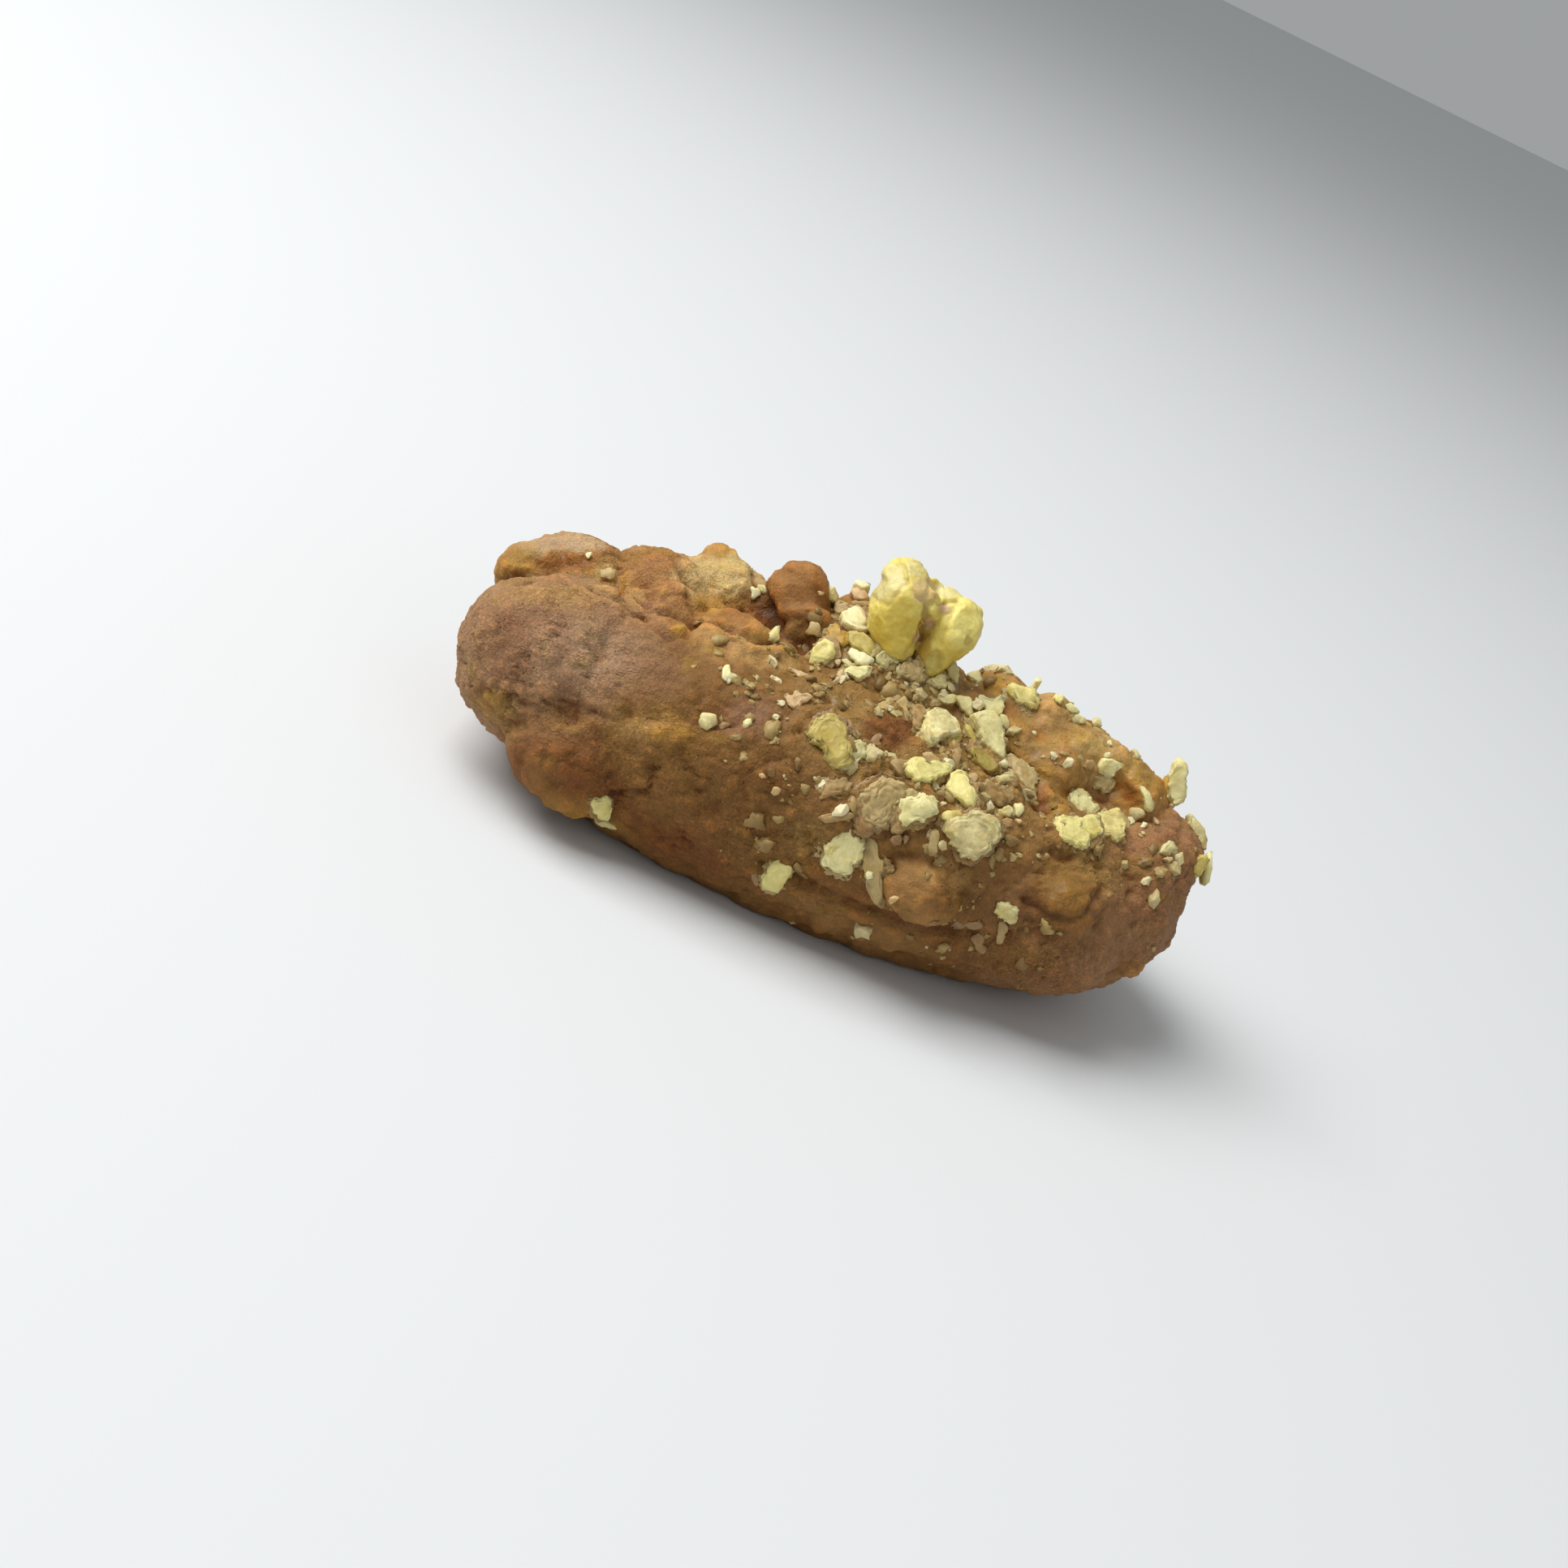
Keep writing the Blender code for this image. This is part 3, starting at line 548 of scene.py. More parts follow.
WALNUT_LOBES = (
    Lobe("left_lobe", (-1.3, 1.0, 27.5), (2.6, 3.2, 4.0), 10),
    Lobe("left_top", (-1.7, 1.8, 29.9), (2.3, 2.6, 1.9)),
    Lobe("middle_boss", (0.9, 1.5, 28.8), (1.6, 2.3, 2.2)),
    Lobe("web", (1.7, 2.9, 27.2), (1.8, 2.0, 2.9)),
    Lobe("left_foot", (0.0, 0.4, 25.0), (1.8, 2.3, 2.4)),
    Lobe("right_lobe", (4.4, 2.5, 27.0), (2.3, 3.1, 3.4), -10),
    Lobe("right_top", (3.0, 3.0, 28.7), (1.9, 2.5, 1.7)),
    Lobe("right_edge", (5.3, 2.9, 27.4), (1.6, 2.7, 2.5)),
    Lobe("right_foot", (3.7, 1.6, 24.8), (1.9, 2.4, 2.5)),
)

WALNUT_CREASES = (
    Crease("back_groove", ((1.6, 5.4, 30.0), (2.2, 6.0, 28.0), (2.0, 5.6, 25.4)), 0.9, 0.6),
)

WALNUT_FURROWS = (
    Crease("top_line", ((1109, 688), (1113, 697), (1116, 706), (1117, 712)), 0.24, 2.6),
    Crease("pale_edge", ((1071, 731), (1084, 743), (1097, 746), (1110, 728), (1119, 716)), 0.12, 3.0),
    Crease("boss_edge", ((1118, 712), (1121, 722), (1127, 733), (1136, 741)), 0.2, 2.8),
    Crease("groove", ((1155, 716), (1154, 741), (1143, 746), (1140, 759), (1137, 770), (1133, 782),
        (1127, 795), (1119, 808)), 0.35, 4.2),
    Crease("strip_edge", ((1157, 745), (1169, 742), (1180, 741), (1186, 745)), 0.24, 2.6),
    Crease("right_fold", ((1180, 746), (1174, 759), (1168, 768), (1158, 789), (1154, 805),
        (1158, 824)), 0.17, 3.4),
    Crease("right_dent", ((1196, 781), (1191, 791), (1193, 795)), 0.14, 2.6),
    Crease("notch", ((1205, 796), (1196, 800), (1184, 806)), 0.16, 4.0),
)

WALNUT_FLATS = (
    Flat("left_top", (-3.0, -0.6, 29.6), (-0.55, -0.55, 0.62), 2.6),
    Flat("roof", (-0.6, 0.2, 31.0), (0.20, -0.45, 0.87), 2.2),
    Flat("left_face", (-1.2, -1.8, 26.9), (0.08, -0.99, 0.05), 3.4),
    Flat("left_side", (-3.6, 0.2, 27.2), (-0.95, -0.25, 0.1), 2.6),
    Flat("right_face", (5.0, 0.2, 28.2), (0.38, -0.72, 0.58), 2.8),
    Flat("right_strip", (2.3, 1.6, 30.0), (-0.30, -0.30, 0.90), 1.8),
    Flat("right_low", (4.4, -0.4, 25.6), (0.15, -0.98, -0.12), 2.4),
    Flat("right_inner", (2.6, -0.6, 27.0), (-0.55, -0.82, 0.1), 1.8),
    Flat("back_left", (-1.6, 4.0, 28.6), (-0.2, 0.95, 0.25), 2.6),
    Flat("back_right", (4.6, 5.2, 27.6), (0.25, 0.9, 0.35), 2.6),
)

WALNUT_TINTS = (
    # painted light: the right lobe is painted paler to offset the shade it falls in
    Tint("right_lobe", (1186, 774), (24, 38), NutTone.LEMON, 0.8),
    # painted shade: the lower faces are painted a darker, deeper gold
    Tint("lower_left", (1100, 774), (30, 34), NutTone.OCHRE, 0.7, 0.0, 0.8),
    Tint("lower_right", (1168, 812), (22, 20), NutTone.OCHRE, 0.6, 0.0, 0.8),
    Tint("pale_top", (1092, 716), (25, 24), NutTone.GREY, 0.7),
    Tint("pale_tongue", (1108, 716), (11, 9), NutTone.PALE, 0.4),
    Tint("roof", (1130, 700), (16, 10), NutTone.GREY, 0.6),
    Tint("boss", (1138, 728), (15, 17), NutTone.SKIN, 0.7),
    Tint("cream_strip", (1167, 727), (16, 10), NutTone.PALE, 0.8),
    Tint("groove_skin", (1142, 757), (6, 13), NutTone.HUSK, 0.5),
    Tint("inner_side", (1138, 792), (10, 26), NutTone.SYRUP, 0.75),
    Tint("inner_low", (1152, 815), (12, 14), NutTone.YELLOW, 0.7),
    Tint("skin_top", (1163, 750), (9, 7), NutTone.SKIN, 0.9),
    Tint("skin_middle", (1146, 768), (6, 8), NutTone.SKIN, 0.9),
    Tint("skin_foot", (1130, 785), (6, 8), NutTone.SKIN, 0.7),
    Tint("bright_spot", (1190, 752), (7, 10), NutTone.GOLD, 0.7),
    Tint("dent", (1192, 789), (4, 7), NutTone.YELLOW, 0.7),
    Tint("left_edge", (1076, 730), (6, 14), NutTone.YELLOW, 0.5),
)

DRYINGS = (
    Drying("left_front", (-28.0, -9.0, 13.0), (12.0, 9.0, 8.0), 1.0, along=1.0),
    Drying("left_below", (-18.0, -14.0, 11.0), (9.0, 6.0, 7.0), 0.9, along=0.6),
    Drying("left_top", (-24.0, 3.0, 18.0), (13.0, 9.0, 6.0), 0.8),
    Drying("belly", (-6.0, -15.0, 9.0), (12.0, 6.0, 8.0), 0.8),
    Drying("right_cap", (31.0, -6.0, 12.0), (8.0, 8.0, 8.0), 0.6, across=0.45),
    Drying("right_foot", (22.0, -15.0, 7.0), (9.0, 5.0, 6.0), 1.0, across=0.6),
)

STREWINGS = (
    Strewing("nut_field", (4.5, -9.0, 20.0), (15.0, 10.0, 7.0), 1.0, 1.0),
    Strewing("below_walnut", (1.0, -3.0, 24.0), (6.0, 5.0, 4.0), 1.0, 0.8),
    Strewing("right_end", (26.0, -6.0, 18.0), (7.0, 6.0, 4.0), 0.3, 0.25),
    Strewing("edge", (33.5, -4.0, 13.0), (4.0, 6.0, 6.0), 0.08, 0.04),
    Strewing("middle", (-7.0, -8.0, 18.0), (5.0, 5.0, 4.0), 0.12, 0.0),
    Strewing("ridge", (15.0, 5.0, 23.5), (12.0, 4.0, 3.0), 0.5, 0.2),
    Strewing("torn_belly", (-5.0, -17.5, 9.0), (6.0, 3.0, 4.0), 0.05, 0.14),
    Strewing("far_side", (8.0, 12.0, 17.0), (18.0, 7.0, 8.0), 0.35, 0.35),
    Strewing("lower_front", (14.0, -17.0, 9.0), (12.0, 4.0, 6.0), 0.08, 0.14),
)

NUTS = (
    Nut("t_crumb", NutKind.FLAKE, 0.8, NutTone.PALE, ((892, 819), (899, 820), (900, 830), (909, 834),
        (905, 838), (896, 838), (892, 844), (889, 836))),
    Nut("white_pip", NutKind.CHUNK, 1.3, NutTone.PALE, ((859, 889), (862, 883), (869, 880), (881, 881),
        (884, 887), (882, 893), (876, 898), (868, 900), (861, 896))),
    Nut("white_pip_b", NutKind.CHUNK, 0.8, NutTone.PALE, ((915, 890), (920, 887), (926, 888), (927, 892),
        (920, 900), (915, 900))),
    Nut("tan_chip", NutKind.FLAKE, 0.4, NutTone.HUSK, ((884, 896), (890, 891), (902, 892), (894, 899),
        (888, 900))),
    Nut("edge_nut", NutKind.CHUNK, 1.6, NutTone.BRIGHT, ((725, 976), (752, 981), (752, 997), (749, 1005),
        (738, 1007), (731, 996))),
    Nut("edge_nut_low", NutKind.FLAKE, 1.0, NutTone.GREY, ((733, 1006), (745, 1008), (765, 1019),
        (760, 1022), (738, 1014))),
    Nut("gap_chip", NutKind.FLAKE, 0.6, NutTone.HAZE, ((738, 704), (752, 701), (759, 705), (759, 713),
        (752, 717), (744, 714))),
    Nut("band_chip", NutKind.FLAKE, 0.5, NutTone.CREAM, ((721, 683), (729, 681), (727, 686), (724, 690))),
    Nut("hollow_chip", NutKind.CHUNK, 1.0, NutTone.CREAM, ((923, 725), (928, 727), (933, 726), (937, 734),
        (929, 740), (925, 738))),
    Nut("hollow_chip_b", NutKind.CRUMBLY, 0.9, NutTone.GREY, ((934, 722), (945, 724), (949, 730),
        (946, 734), (936, 729))),
    Nut("hollow_drop", NutKind.CHUNK, 1.0, NutTone.PALE, ((956, 771), (960, 773), (957, 781), (958, 788),
        (956, 792), (941, 792), (936, 787), (946, 784), (951, 775))),
    Nut("ball_pip", NutKind.CHUNK, 0.6, NutTone.SKIN, ((1007, 729), (1014, 729), (1014, 733),
        (1007, 734))),
    Nut("peak_shard", NutKind.CHUNK, 1.0, NutTone.PALE, ((1023, 722), (1027, 728), (1028, 743),
        (1023, 741), (1018, 735), (1017, 729))),
    Nut("tan_block", NutKind.CHUNK, 1.4, NutTone.HAZE, ((1030, 742), (1040, 741), (1048, 748),
        (1058, 750), (1050, 757), (1040, 759), (1033, 764), (1027, 756))),
    Nut("top_shard", NutKind.SLAB, 1.0, NutTone.CREAM, ((1050, 722), (1054, 718), (1071, 723),
        (1071, 729), (1062, 729))),
    Nut("tan_shard", NutKind.CHUNK, 1.2, NutTone.SKIN, ((1050, 726), (1070, 730), (1071, 739),
        (1062, 743), (1052, 740), (1045, 733))),
    Nut("tan_shard_low", NutKind.CHUNK, 1.0, NutTone.SOAKED, ((1047, 741), (1056, 741), (1068, 742),
        (1072, 750), (1060, 752), (1050, 749))),
    Nut("pale_flake", NutKind.SLAB, 2.0, NutTone.CREAM, ((1033, 765), (1036, 759), (1052, 752),
        (1060, 751), (1066, 754), (1070, 783), (1066, 785), (1040, 779))),
    Nut("pale_block", NutKind.CHUNK, 1.8, NutTone.YELLOW, ((1044, 780), (1067, 785), (1075, 790),
        (1077, 811), (1070, 813), (1052, 801), (1045, 793))),
    Nut("syrup_block", NutKind.CHUNK, 1.4, NutTone.SYRUP, ((1016, 784), (1026, 771), (1033, 771),
        (1036, 779), (1044, 783), (1045, 796), (1038, 801), (1028, 799))),
    Nut("bright_one", NutKind.CHUNK, 2.0, NutTone.BRIGHT, ((1017, 790), (1030, 800), (1028, 812),
        (1022, 815), (1020, 821), (1003, 822), (998, 818), (997, 811), (1001, 803))),
    Nut("grey_chip", NutKind.SLAB, 1.3, NutTone.HAZE, ((1000, 767), (1009, 769), (1013, 774), (1013, 786),
        (993, 782))),
    Nut("pale_two", NutKind.SLAB, 1.5, NutTone.CREAM, ((1044, 806), (1047, 801), (1075, 812), (1077, 819),
        (1068, 823), (1055, 821), (1047, 815))),
    Nut("pale_three", NutKind.SLAB, 1.4, NutTone.PALE, ((1040, 834), (1043, 827), (1052, 824),
        (1073, 823), (1073, 834), (1054, 842), (1047, 835))),
    Nut("skin_strip", NutKind.FLAKE, 0.5, NutTone.SKIN, ((1024, 847), (1033, 828), (1041, 825),
        (1040, 833), (1030, 846))),
    Nut("grey_pip", NutKind.CHUNK, 0.8, NutTone.GREY, ((1037, 814), (1043, 812), (1048, 818), (1053, 822),
        (1044, 824), (1038, 819))),
    Nut("skin_pip", NutKind.CHUNK, 0.7, NutTone.SKIN, ((1028, 816), (1033, 813), (1036, 817),
        (1031, 823))),
    Nut("crumbly_a", NutKind.CRUMBLY, 1.3, NutTone.GREY, ((1086, 804), (1091, 803), (1095, 810),
        (1104, 813), (1105, 819), (1095, 820), (1092, 826), (1085, 826), (1078, 819), (1077, 812))),
    Nut("clear_a", NutKind.CRUMBLY, 1.3, NutTone.HAZE, ((1111, 819), (1116, 813), (1121, 819),
        (1124, 813), (1130, 813), (1134, 842), (1123, 842), (1107, 833))),
    Nut("clear_b", NutKind.SLAB, 1.0, NutTone.HAZE, ((1111, 861), (1118, 859), (1117, 878), (1121, 892),
        (1114, 893), (1112, 880), (1104, 869))),
    Nut("clear_side", NutKind.CRUMBLY, 1.2, NutTone.SOAKED, ((1122, 872), (1130, 870), (1137, 876),
        (1139, 885), (1133, 891), (1130, 904), (1123, 900), (1119, 888))),
    Nut("sliver_a", NutKind.CHUNK, 2.0, NutTone.PALE, ((1167, 811), (1172, 809), (1179, 826), (1178, 847),
        (1171, 850), (1164, 846), (1164, 822)), 0.7),
    Nut("sliver_crumb", NutKind.CRUMBLY, 1.2, NutTone.GREY, ((1136, 841), (1157, 833), (1165, 834),
        (1167, 846), (1160, 851), (1147, 849))),
    Nut("pip_a", NutKind.SLAB, 1.0, NutTone.GREY, ((1192, 835), (1199, 830), (1208, 829), (1211, 838),
        (1210, 846), (1196, 841))),
    Nut("yellow_a", NutKind.CHUNK, 2.0, NutTone.BRIGHT, ((1239, 847), (1246, 843), (1251, 848),
        (1274, 852), (1277, 869), (1284, 874), (1267, 878), (1261, 871), (1243, 862), (1239, 854))),
    Nut("yellow_pip", NutKind.CHUNK, 0.9, NutTone.CREAM, ((1269, 847), (1273, 844), (1278, 846),
        (1277, 851), (1270, 852)), 0.3, 0.6),
    Nut("sliver_b", NutKind.SLAB, 1.1, NutTone.PALE, ((1152, 861), (1174, 856), (1179, 858), (1178, 864),
        (1174, 869), (1156, 867))),
    Nut("flake_b", NutKind.SLAB, 1.2, NutTone.PALE, ((1178, 857), (1196, 862), (1199, 868), (1196, 872),
        (1201, 880), (1198, 884), (1190, 882), (1177, 865))),
    Nut("y_top", NutKind.SLAB, 1.2, NutTone.PALE, ((1203, 860), (1209, 859), (1221, 866), (1228, 862),
        (1239, 860), (1231, 884), (1222, 887), (1212, 884))),
    Nut("big_wedge", NutKind.SLAB, 2.6, NutTone.PALE, ((1193, 887), (1198, 882), (1218, 882), (1226, 886),
        (1231, 896), (1234, 912), (1235, 943), (1228, 941), (1205, 920))),
    Nut("dark_wedge", NutKind.SLAB, 1.5, NutTone.OLIVE, ((1191, 925), (1196, 919), (1201, 919),
        (1233, 949), (1228, 953), (1214, 954), (1206, 951), (1199, 944))),
    Nut("wedge_crumb", NutKind.CRUMBLY, 1.0, NutTone.YELLOW, ((1190, 893), (1197, 897), (1203, 914),
        (1198, 918), (1188, 901))),
    Nut("side_chip", NutKind.SLAB, 0.8, NutTone.GREY, ((1232, 882), (1238, 882), (1243, 890), (1242, 898),
        (1236, 899), (1233, 890))),
    Nut("cream_tip", NutKind.CHUNK, 0.9, NutTone.CREAM, ((1229, 941), (1236, 937), (1240, 940),
        (1239, 946), (1232, 947))),
    Nut("round_a", NutKind.SLAB, 2.2, NutTone.PALE, ((1140, 881), (1145, 876), (1152, 875), (1168, 881),
        (1180, 899), (1182, 908), (1158, 914), (1143, 926), (1137, 926), (1132, 917), (1130, 906))),
    Nut("round_a_side", NutKind.CRUMBLY, 1.3, NutTone.YELLOW, ((1158, 917), (1166, 909), (1176, 907),
        (1183, 910), (1174, 926), (1160, 924))),
    Nut("under_crumb", NutKind.CRUMBLY, 1.0, NutTone.HAZE, ((1136, 930), (1145, 928), (1159, 939),
        (1157, 943), (1145, 942), (1137, 938))),
    Nut("side_crumb", NutKind.CRUMBLY, 1.0, NutTone.SOAKED, ((1170, 915), (1176, 912), (1184, 932),
        (1182, 942), (1176, 938), (1171, 927))),
    Nut("chip_c", NutKind.CRUMBLY, 0.9, NutTone.GREY, ((1217, 961), (1243, 956), (1247, 962), (1240, 967),
        (1228, 967))),
    Nut("haze_chip", NutKind.SLAB, 0.7, NutTone.HAZE, ((1190, 958), (1199, 954), (1206, 957), (1202, 965),
        (1196, 970), (1192, 965))),
    Nut("large_left", NutKind.CHUNK, 2.2, NutTone.YELLOW, ((1011, 882), (1029, 881), (1031, 891),
        (1039, 897), (1048, 935), (1052, 942), (1030, 956), (1014, 948), (1012, 940), (1014, 931),
        (1009, 921), (999, 918), (993, 903))),
    Nut("large_tail", NutKind.CRUMBLY, 1.5, NutTone.GREY, ((1040, 919), (1057, 914), (1063, 917),
        (1065, 935), (1054, 946), (1046, 941), (1040, 930))),
    Nut("tail_tip", NutKind.CRUMBLY, 1.2, NutTone.GREY, ((1066, 919), (1077, 921), (1089, 932),
        (1076, 940), (1068, 938))),
    Nut("husk_a", NutKind.FLAKE, 0.5, NutTone.HUSK, ((1043, 885), (1048, 889), (1056, 906), (1053, 913),
        (1044, 898))),
    Nut("husk_b", NutKind.FLAKE, 0.6, NutTone.HUSK, ((1071, 916), (1073, 911), (1080, 905), (1088, 903),
        (1084, 921), (1076, 921))),
    Nut("leaf_a", NutKind.SLAB, 1.9, NutTone.BRIGHT, ((1111, 957), (1112, 945), (1120, 938), (1130, 937),
        (1140, 941), (1163, 941), (1177, 945), (1174, 950), (1158, 960), (1138, 967), (1126, 967))),
    Nut("leaf_chip", NutKind.SLAB, 1.0, NutTone.HAZE, ((1094, 939), (1102, 937), (1111, 937), (1109, 957),
        (1103, 953), (1098, 946))),
    Nut("crumbly_b", NutKind.CRUMBLY, 2.2, NutTone.PALE, ((1104, 993), (1118, 981), (1138, 977),
        (1142, 981), (1153, 982), (1156, 988), (1151, 993), (1153, 1000), (1140, 1008), (1136, 1014),
        (1124, 1011), (1113, 1021), (1108, 1016), (1104, 1006), (1107, 999))),
    Nut("wedge_c", NutKind.SLAB, 1.9, NutTone.BRIGHT, ((1178, 952), (1183, 951), (1187, 954), (1193, 971),
        (1204, 987), (1199, 991), (1197, 998), (1192, 999), (1169, 983), (1162, 972), (1169, 960))),
    Nut("round_side", NutKind.CHUNK, 1.8, NutTone.BRIGHT, ((1160, 1004), (1166, 1001), (1181, 1000),
        (1185, 1005), (1183, 1009), (1167, 1013), (1161, 1011))),
    Nut("big_round", NutKind.CHUNK, 2.8, NutTone.GREY, ((1160, 1014), (1170, 1009), (1191, 1005),
        (1200, 998), (1228, 1010), (1233, 1022), (1231, 1033), (1220, 1043), (1219, 1049), (1208, 1053),
        (1204, 1060), (1197, 1060), (1191, 1056), (1180, 1056), (1179, 1046), (1170, 1040), (1164, 1029),
        (1157, 1022))),
    Nut("crumb_c", NutKind.CRUMBLY, 1.3, NutTone.GREY, ((1227, 1003), (1230, 999), (1241, 993),
        (1247, 997), (1246, 1004), (1240, 1008), (1232, 1007))),
    Nut("crumb_c_side", NutKind.CHUNK, 1.1, NutTone.PALE, ((1248, 992), (1257, 991), (1261, 996),
        (1258, 1004), (1253, 1010), (1249, 1007))),
    Nut("crumb_c_low", NutKind.CHUNK, 0.8, NutTone.SKIN, ((1250, 1011), (1258, 1011), (1258, 1015),
        (1253, 1018))),
    Nut("tan_step", NutKind.CRUMBLY, 0.8, NutTone.SOAKED, ((1231, 1010), (1240, 1009), (1247, 1012),
        (1246, 1020), (1238, 1023), (1231, 1020))),
    Nut("haze_strip", NutKind.SLAB, 1.0, NutTone.HAZE, ((1143, 1026), (1147, 1022), (1156, 1024),
        (1157, 1030), (1154, 1040), (1155, 1052), (1149, 1056), (1144, 1052))),
    Nut("grey_ball", NutKind.CHUNK, 1.1, NutTone.GREY, ((1156, 1037), (1162, 1034), (1167, 1040),
        (1165, 1046), (1160, 1048), (1155, 1045))),
    Nut("pale_round", NutKind.CHUNK, 2.2, NutTone.PALE, ((1041, 1018), (1048, 1019), (1053, 1025),
        (1061, 1029), (1065, 1035), (1065, 1044), (1061, 1057), (1051, 1065), (1051, 1071), (1046, 1077),
        (1039, 1076), (1023, 1064), (1017, 1062), (1014, 1054), (1016, 1042), (1029, 1026))),
    Nut("long_strip", NutKind.SLAB, 1.4, NutTone.HAZE, ((1064, 1034), (1071, 1029), (1081, 1030),
        (1083, 1056), (1090, 1070), (1088, 1080), (1088, 1115), (1078, 1114), (1073, 1104),
        (1063, 1070))),
    Nut("strip_pip", NutKind.CHUNK, 0.7, NutTone.CREAM, ((1066, 1074), (1070, 1071), (1076, 1073),
        (1076, 1079), (1069, 1081)), 0.3, 0.8),
    Nut("bright_four", NutKind.CHUNK, 2.0, NutTone.BRIGHT, ((970, 1052), (975, 1055), (978, 1065),
        (976, 1073), (959, 1097), (953, 1100), (946, 1098), (940, 1092), (939, 1084), (952, 1057))),
    Nut("clear_c", NutKind.FLAKE, 0.6, NutTone.HUSK, ((925, 1070), (930, 1069), (935, 1079), (936, 1090),
        (931, 1091), (926, 1082))),
    Nut("mid_pip_a", NutKind.CHUNK, 0.6, NutTone.SKIN, ((934, 953), (939, 951), (944, 957), (938, 960))),
    Nut("mid_pip_b", NutKind.CHUNK, 0.7, NutTone.SKIN, ((950, 977), (953, 970), (958, 969), (963, 973),
        (960, 979), (954, 980))),
    Nut("husk_ball_a", NutKind.CHUNK, 1.0, NutTone.HUSK, ((1096, 1035), (1100, 1028), (1108, 1027),
        (1111, 1034), (1108, 1041), (1100, 1043))),
    Nut("husk_ball_b", NutKind.CHUNK, 1.0, NutTone.HUSK, ((1111, 1032), (1115, 1028), (1119, 1031),
        (1118, 1038), (1113, 1041))),
    Nut("lump_chip", NutKind.CHUNK, 0.8, NutTone.SKIN, ((1094, 1110), (1096, 1105), (1102, 1103),
        (1109, 1105), (1106, 1110), (1098, 1114))),
    Nut("round_b", NutKind.CRUMBLY, 1.6, NutTone.GREY, ((1224, 1121), (1233, 1110), (1241, 1110),
        (1253, 1120), (1253, 1129), (1249, 1136), (1240, 1137))),
    Nut("strip_b", NutKind.FLAKE, 0.8, NutTone.HAZE, ((1230, 1129), (1242, 1139), (1241, 1148),
        (1234, 1160), (1236, 1165), (1227, 1165))),
    Nut("skin_c", NutKind.FLAKE, 0.4, NutTone.HUSK, ((1172, 1144), (1175, 1136), (1183, 1131),
        (1192, 1134), (1209, 1135), (1212, 1141), (1203, 1144), (1190, 1142), (1178, 1145))),
    Nut("skin_d", NutKind.FLAKE, 0.4, NutTone.HUSK, ((1195, 1154), (1206, 1151), (1213, 1154),
        (1211, 1163), (1219, 1171), (1211, 1175), (1204, 1171))),
    Nut("skin_a", NutKind.FLAKE, 0.5, NutTone.SKIN, ((967, 858), (975, 858), (981, 852), (988, 856),
        (1001, 854), (998, 861), (981, 874), (975, 876))),
    Nut("skin_a_top", NutKind.FLAKE, 0.5, NutTone.SKIN, ((969, 826), (973, 822), (984, 829), (1001, 834),
        (992, 837), (984, 836))),
    Nut("skin_a_side", NutKind.FLAKE, 0.4, NutTone.SOAKED, ((1000, 856), (1006, 852), (1016, 853),
        (1014, 858), (1004, 860))),
    Nut("paste_a", NutKind.FLAKE, 1.3, NutTone.HAZE, ((1053, 985), (1068, 968), (1083, 960), (1092, 958),
        (1115, 966), (1117, 975), (1104, 992), (1096, 1013), (1084, 1020), (1073, 1023), (1064, 1018),
        (1056, 999))),
    Nut("paste_b", NutKind.FLAKE, 1.1, NutTone.SOAKED, ((1009, 987), (1016, 960), (1028, 958),
        (1042, 960), (1049, 966), (1048, 976))),
    Nut("paste_c", NutKind.FLAKE, 0.8, NutTone.SOAKED, ((1003, 1008), (1015, 1004), (1045, 1000),
        (1056, 1004), (1048, 1010), (1018, 1014))),
    Nut("paste_d", NutKind.FLAKE, 1.2, NutTone.HAZE, ((1245, 938), (1252, 935), (1279, 959), (1271, 975),
        (1260, 977), (1250, 971), (1246, 960))),
    Nut("paste_e", NutKind.FLAKE, 1.0, NutTone.SOAKED, ((1205, 970), (1216, 963), (1243, 973),
        (1250, 980), (1245, 989), (1230, 991), (1214, 988), (1206, 980))),
    Nut("crumb_d", NutKind.CRUMBLY, 1.6, NutTone.PALE, ((1315, 986), (1317, 981), (1333, 975),
        (1337, 982), (1344, 984), (1339, 993), (1350, 995), (1351, 999), (1348, 1005), (1326, 1011),
        (1322, 1006))),
    Nut("bright_bridge", NutKind.CHUNK, 1.6, NutTone.BRIGHT, ((1320, 1016), (1324, 1010), (1352, 1008),
        (1354, 1030), (1346, 1036), (1334, 1034), (1324, 1028)), 0.3, 0.2),
    Nut("bright_two", NutKind.CHUNK, 2.0, NutTone.BRIGHT, ((1299, 1011), (1304, 1007), (1311, 1006),
        (1316, 1010), (1321, 1003), (1328, 1008), (1328, 1022), (1333, 1031), (1343, 1032), (1343, 1041),
        (1339, 1046), (1324, 1050), (1303, 1041), (1299, 1036), (1296, 1020))),
    Nut("bright_three", NutKind.CHUNK, 2.0, NutTone.BRIGHT, ((1325, 1013), (1332, 1009), (1371, 1001),
        (1381, 1002), (1389, 1009), (1389, 1016), (1379, 1028), (1378, 1036), (1370, 1046), (1362, 1042),
        (1358, 1037), (1332, 1031), (1325, 1023)), 0.3, 0.2),
    Nut("crumb_e", NutKind.CHUNK, 1.4, NutTone.PALE, ((1350, 948), (1354, 937), (1359, 932), (1382, 941),
        (1381, 946), (1375, 950), (1371, 957), (1362, 957))),
    Nut("crumb_e_pip", NutKind.CHUNK, 0.9, NutTone.CREAM, ((1360, 928), (1366, 927), (1367, 934),
        (1360, 934))),
    Nut("crumb_e_top", NutKind.CHUNK, 0.7, NutTone.CREAM, ((1364, 914), (1368, 914), (1369, 920),
        (1365, 920))),
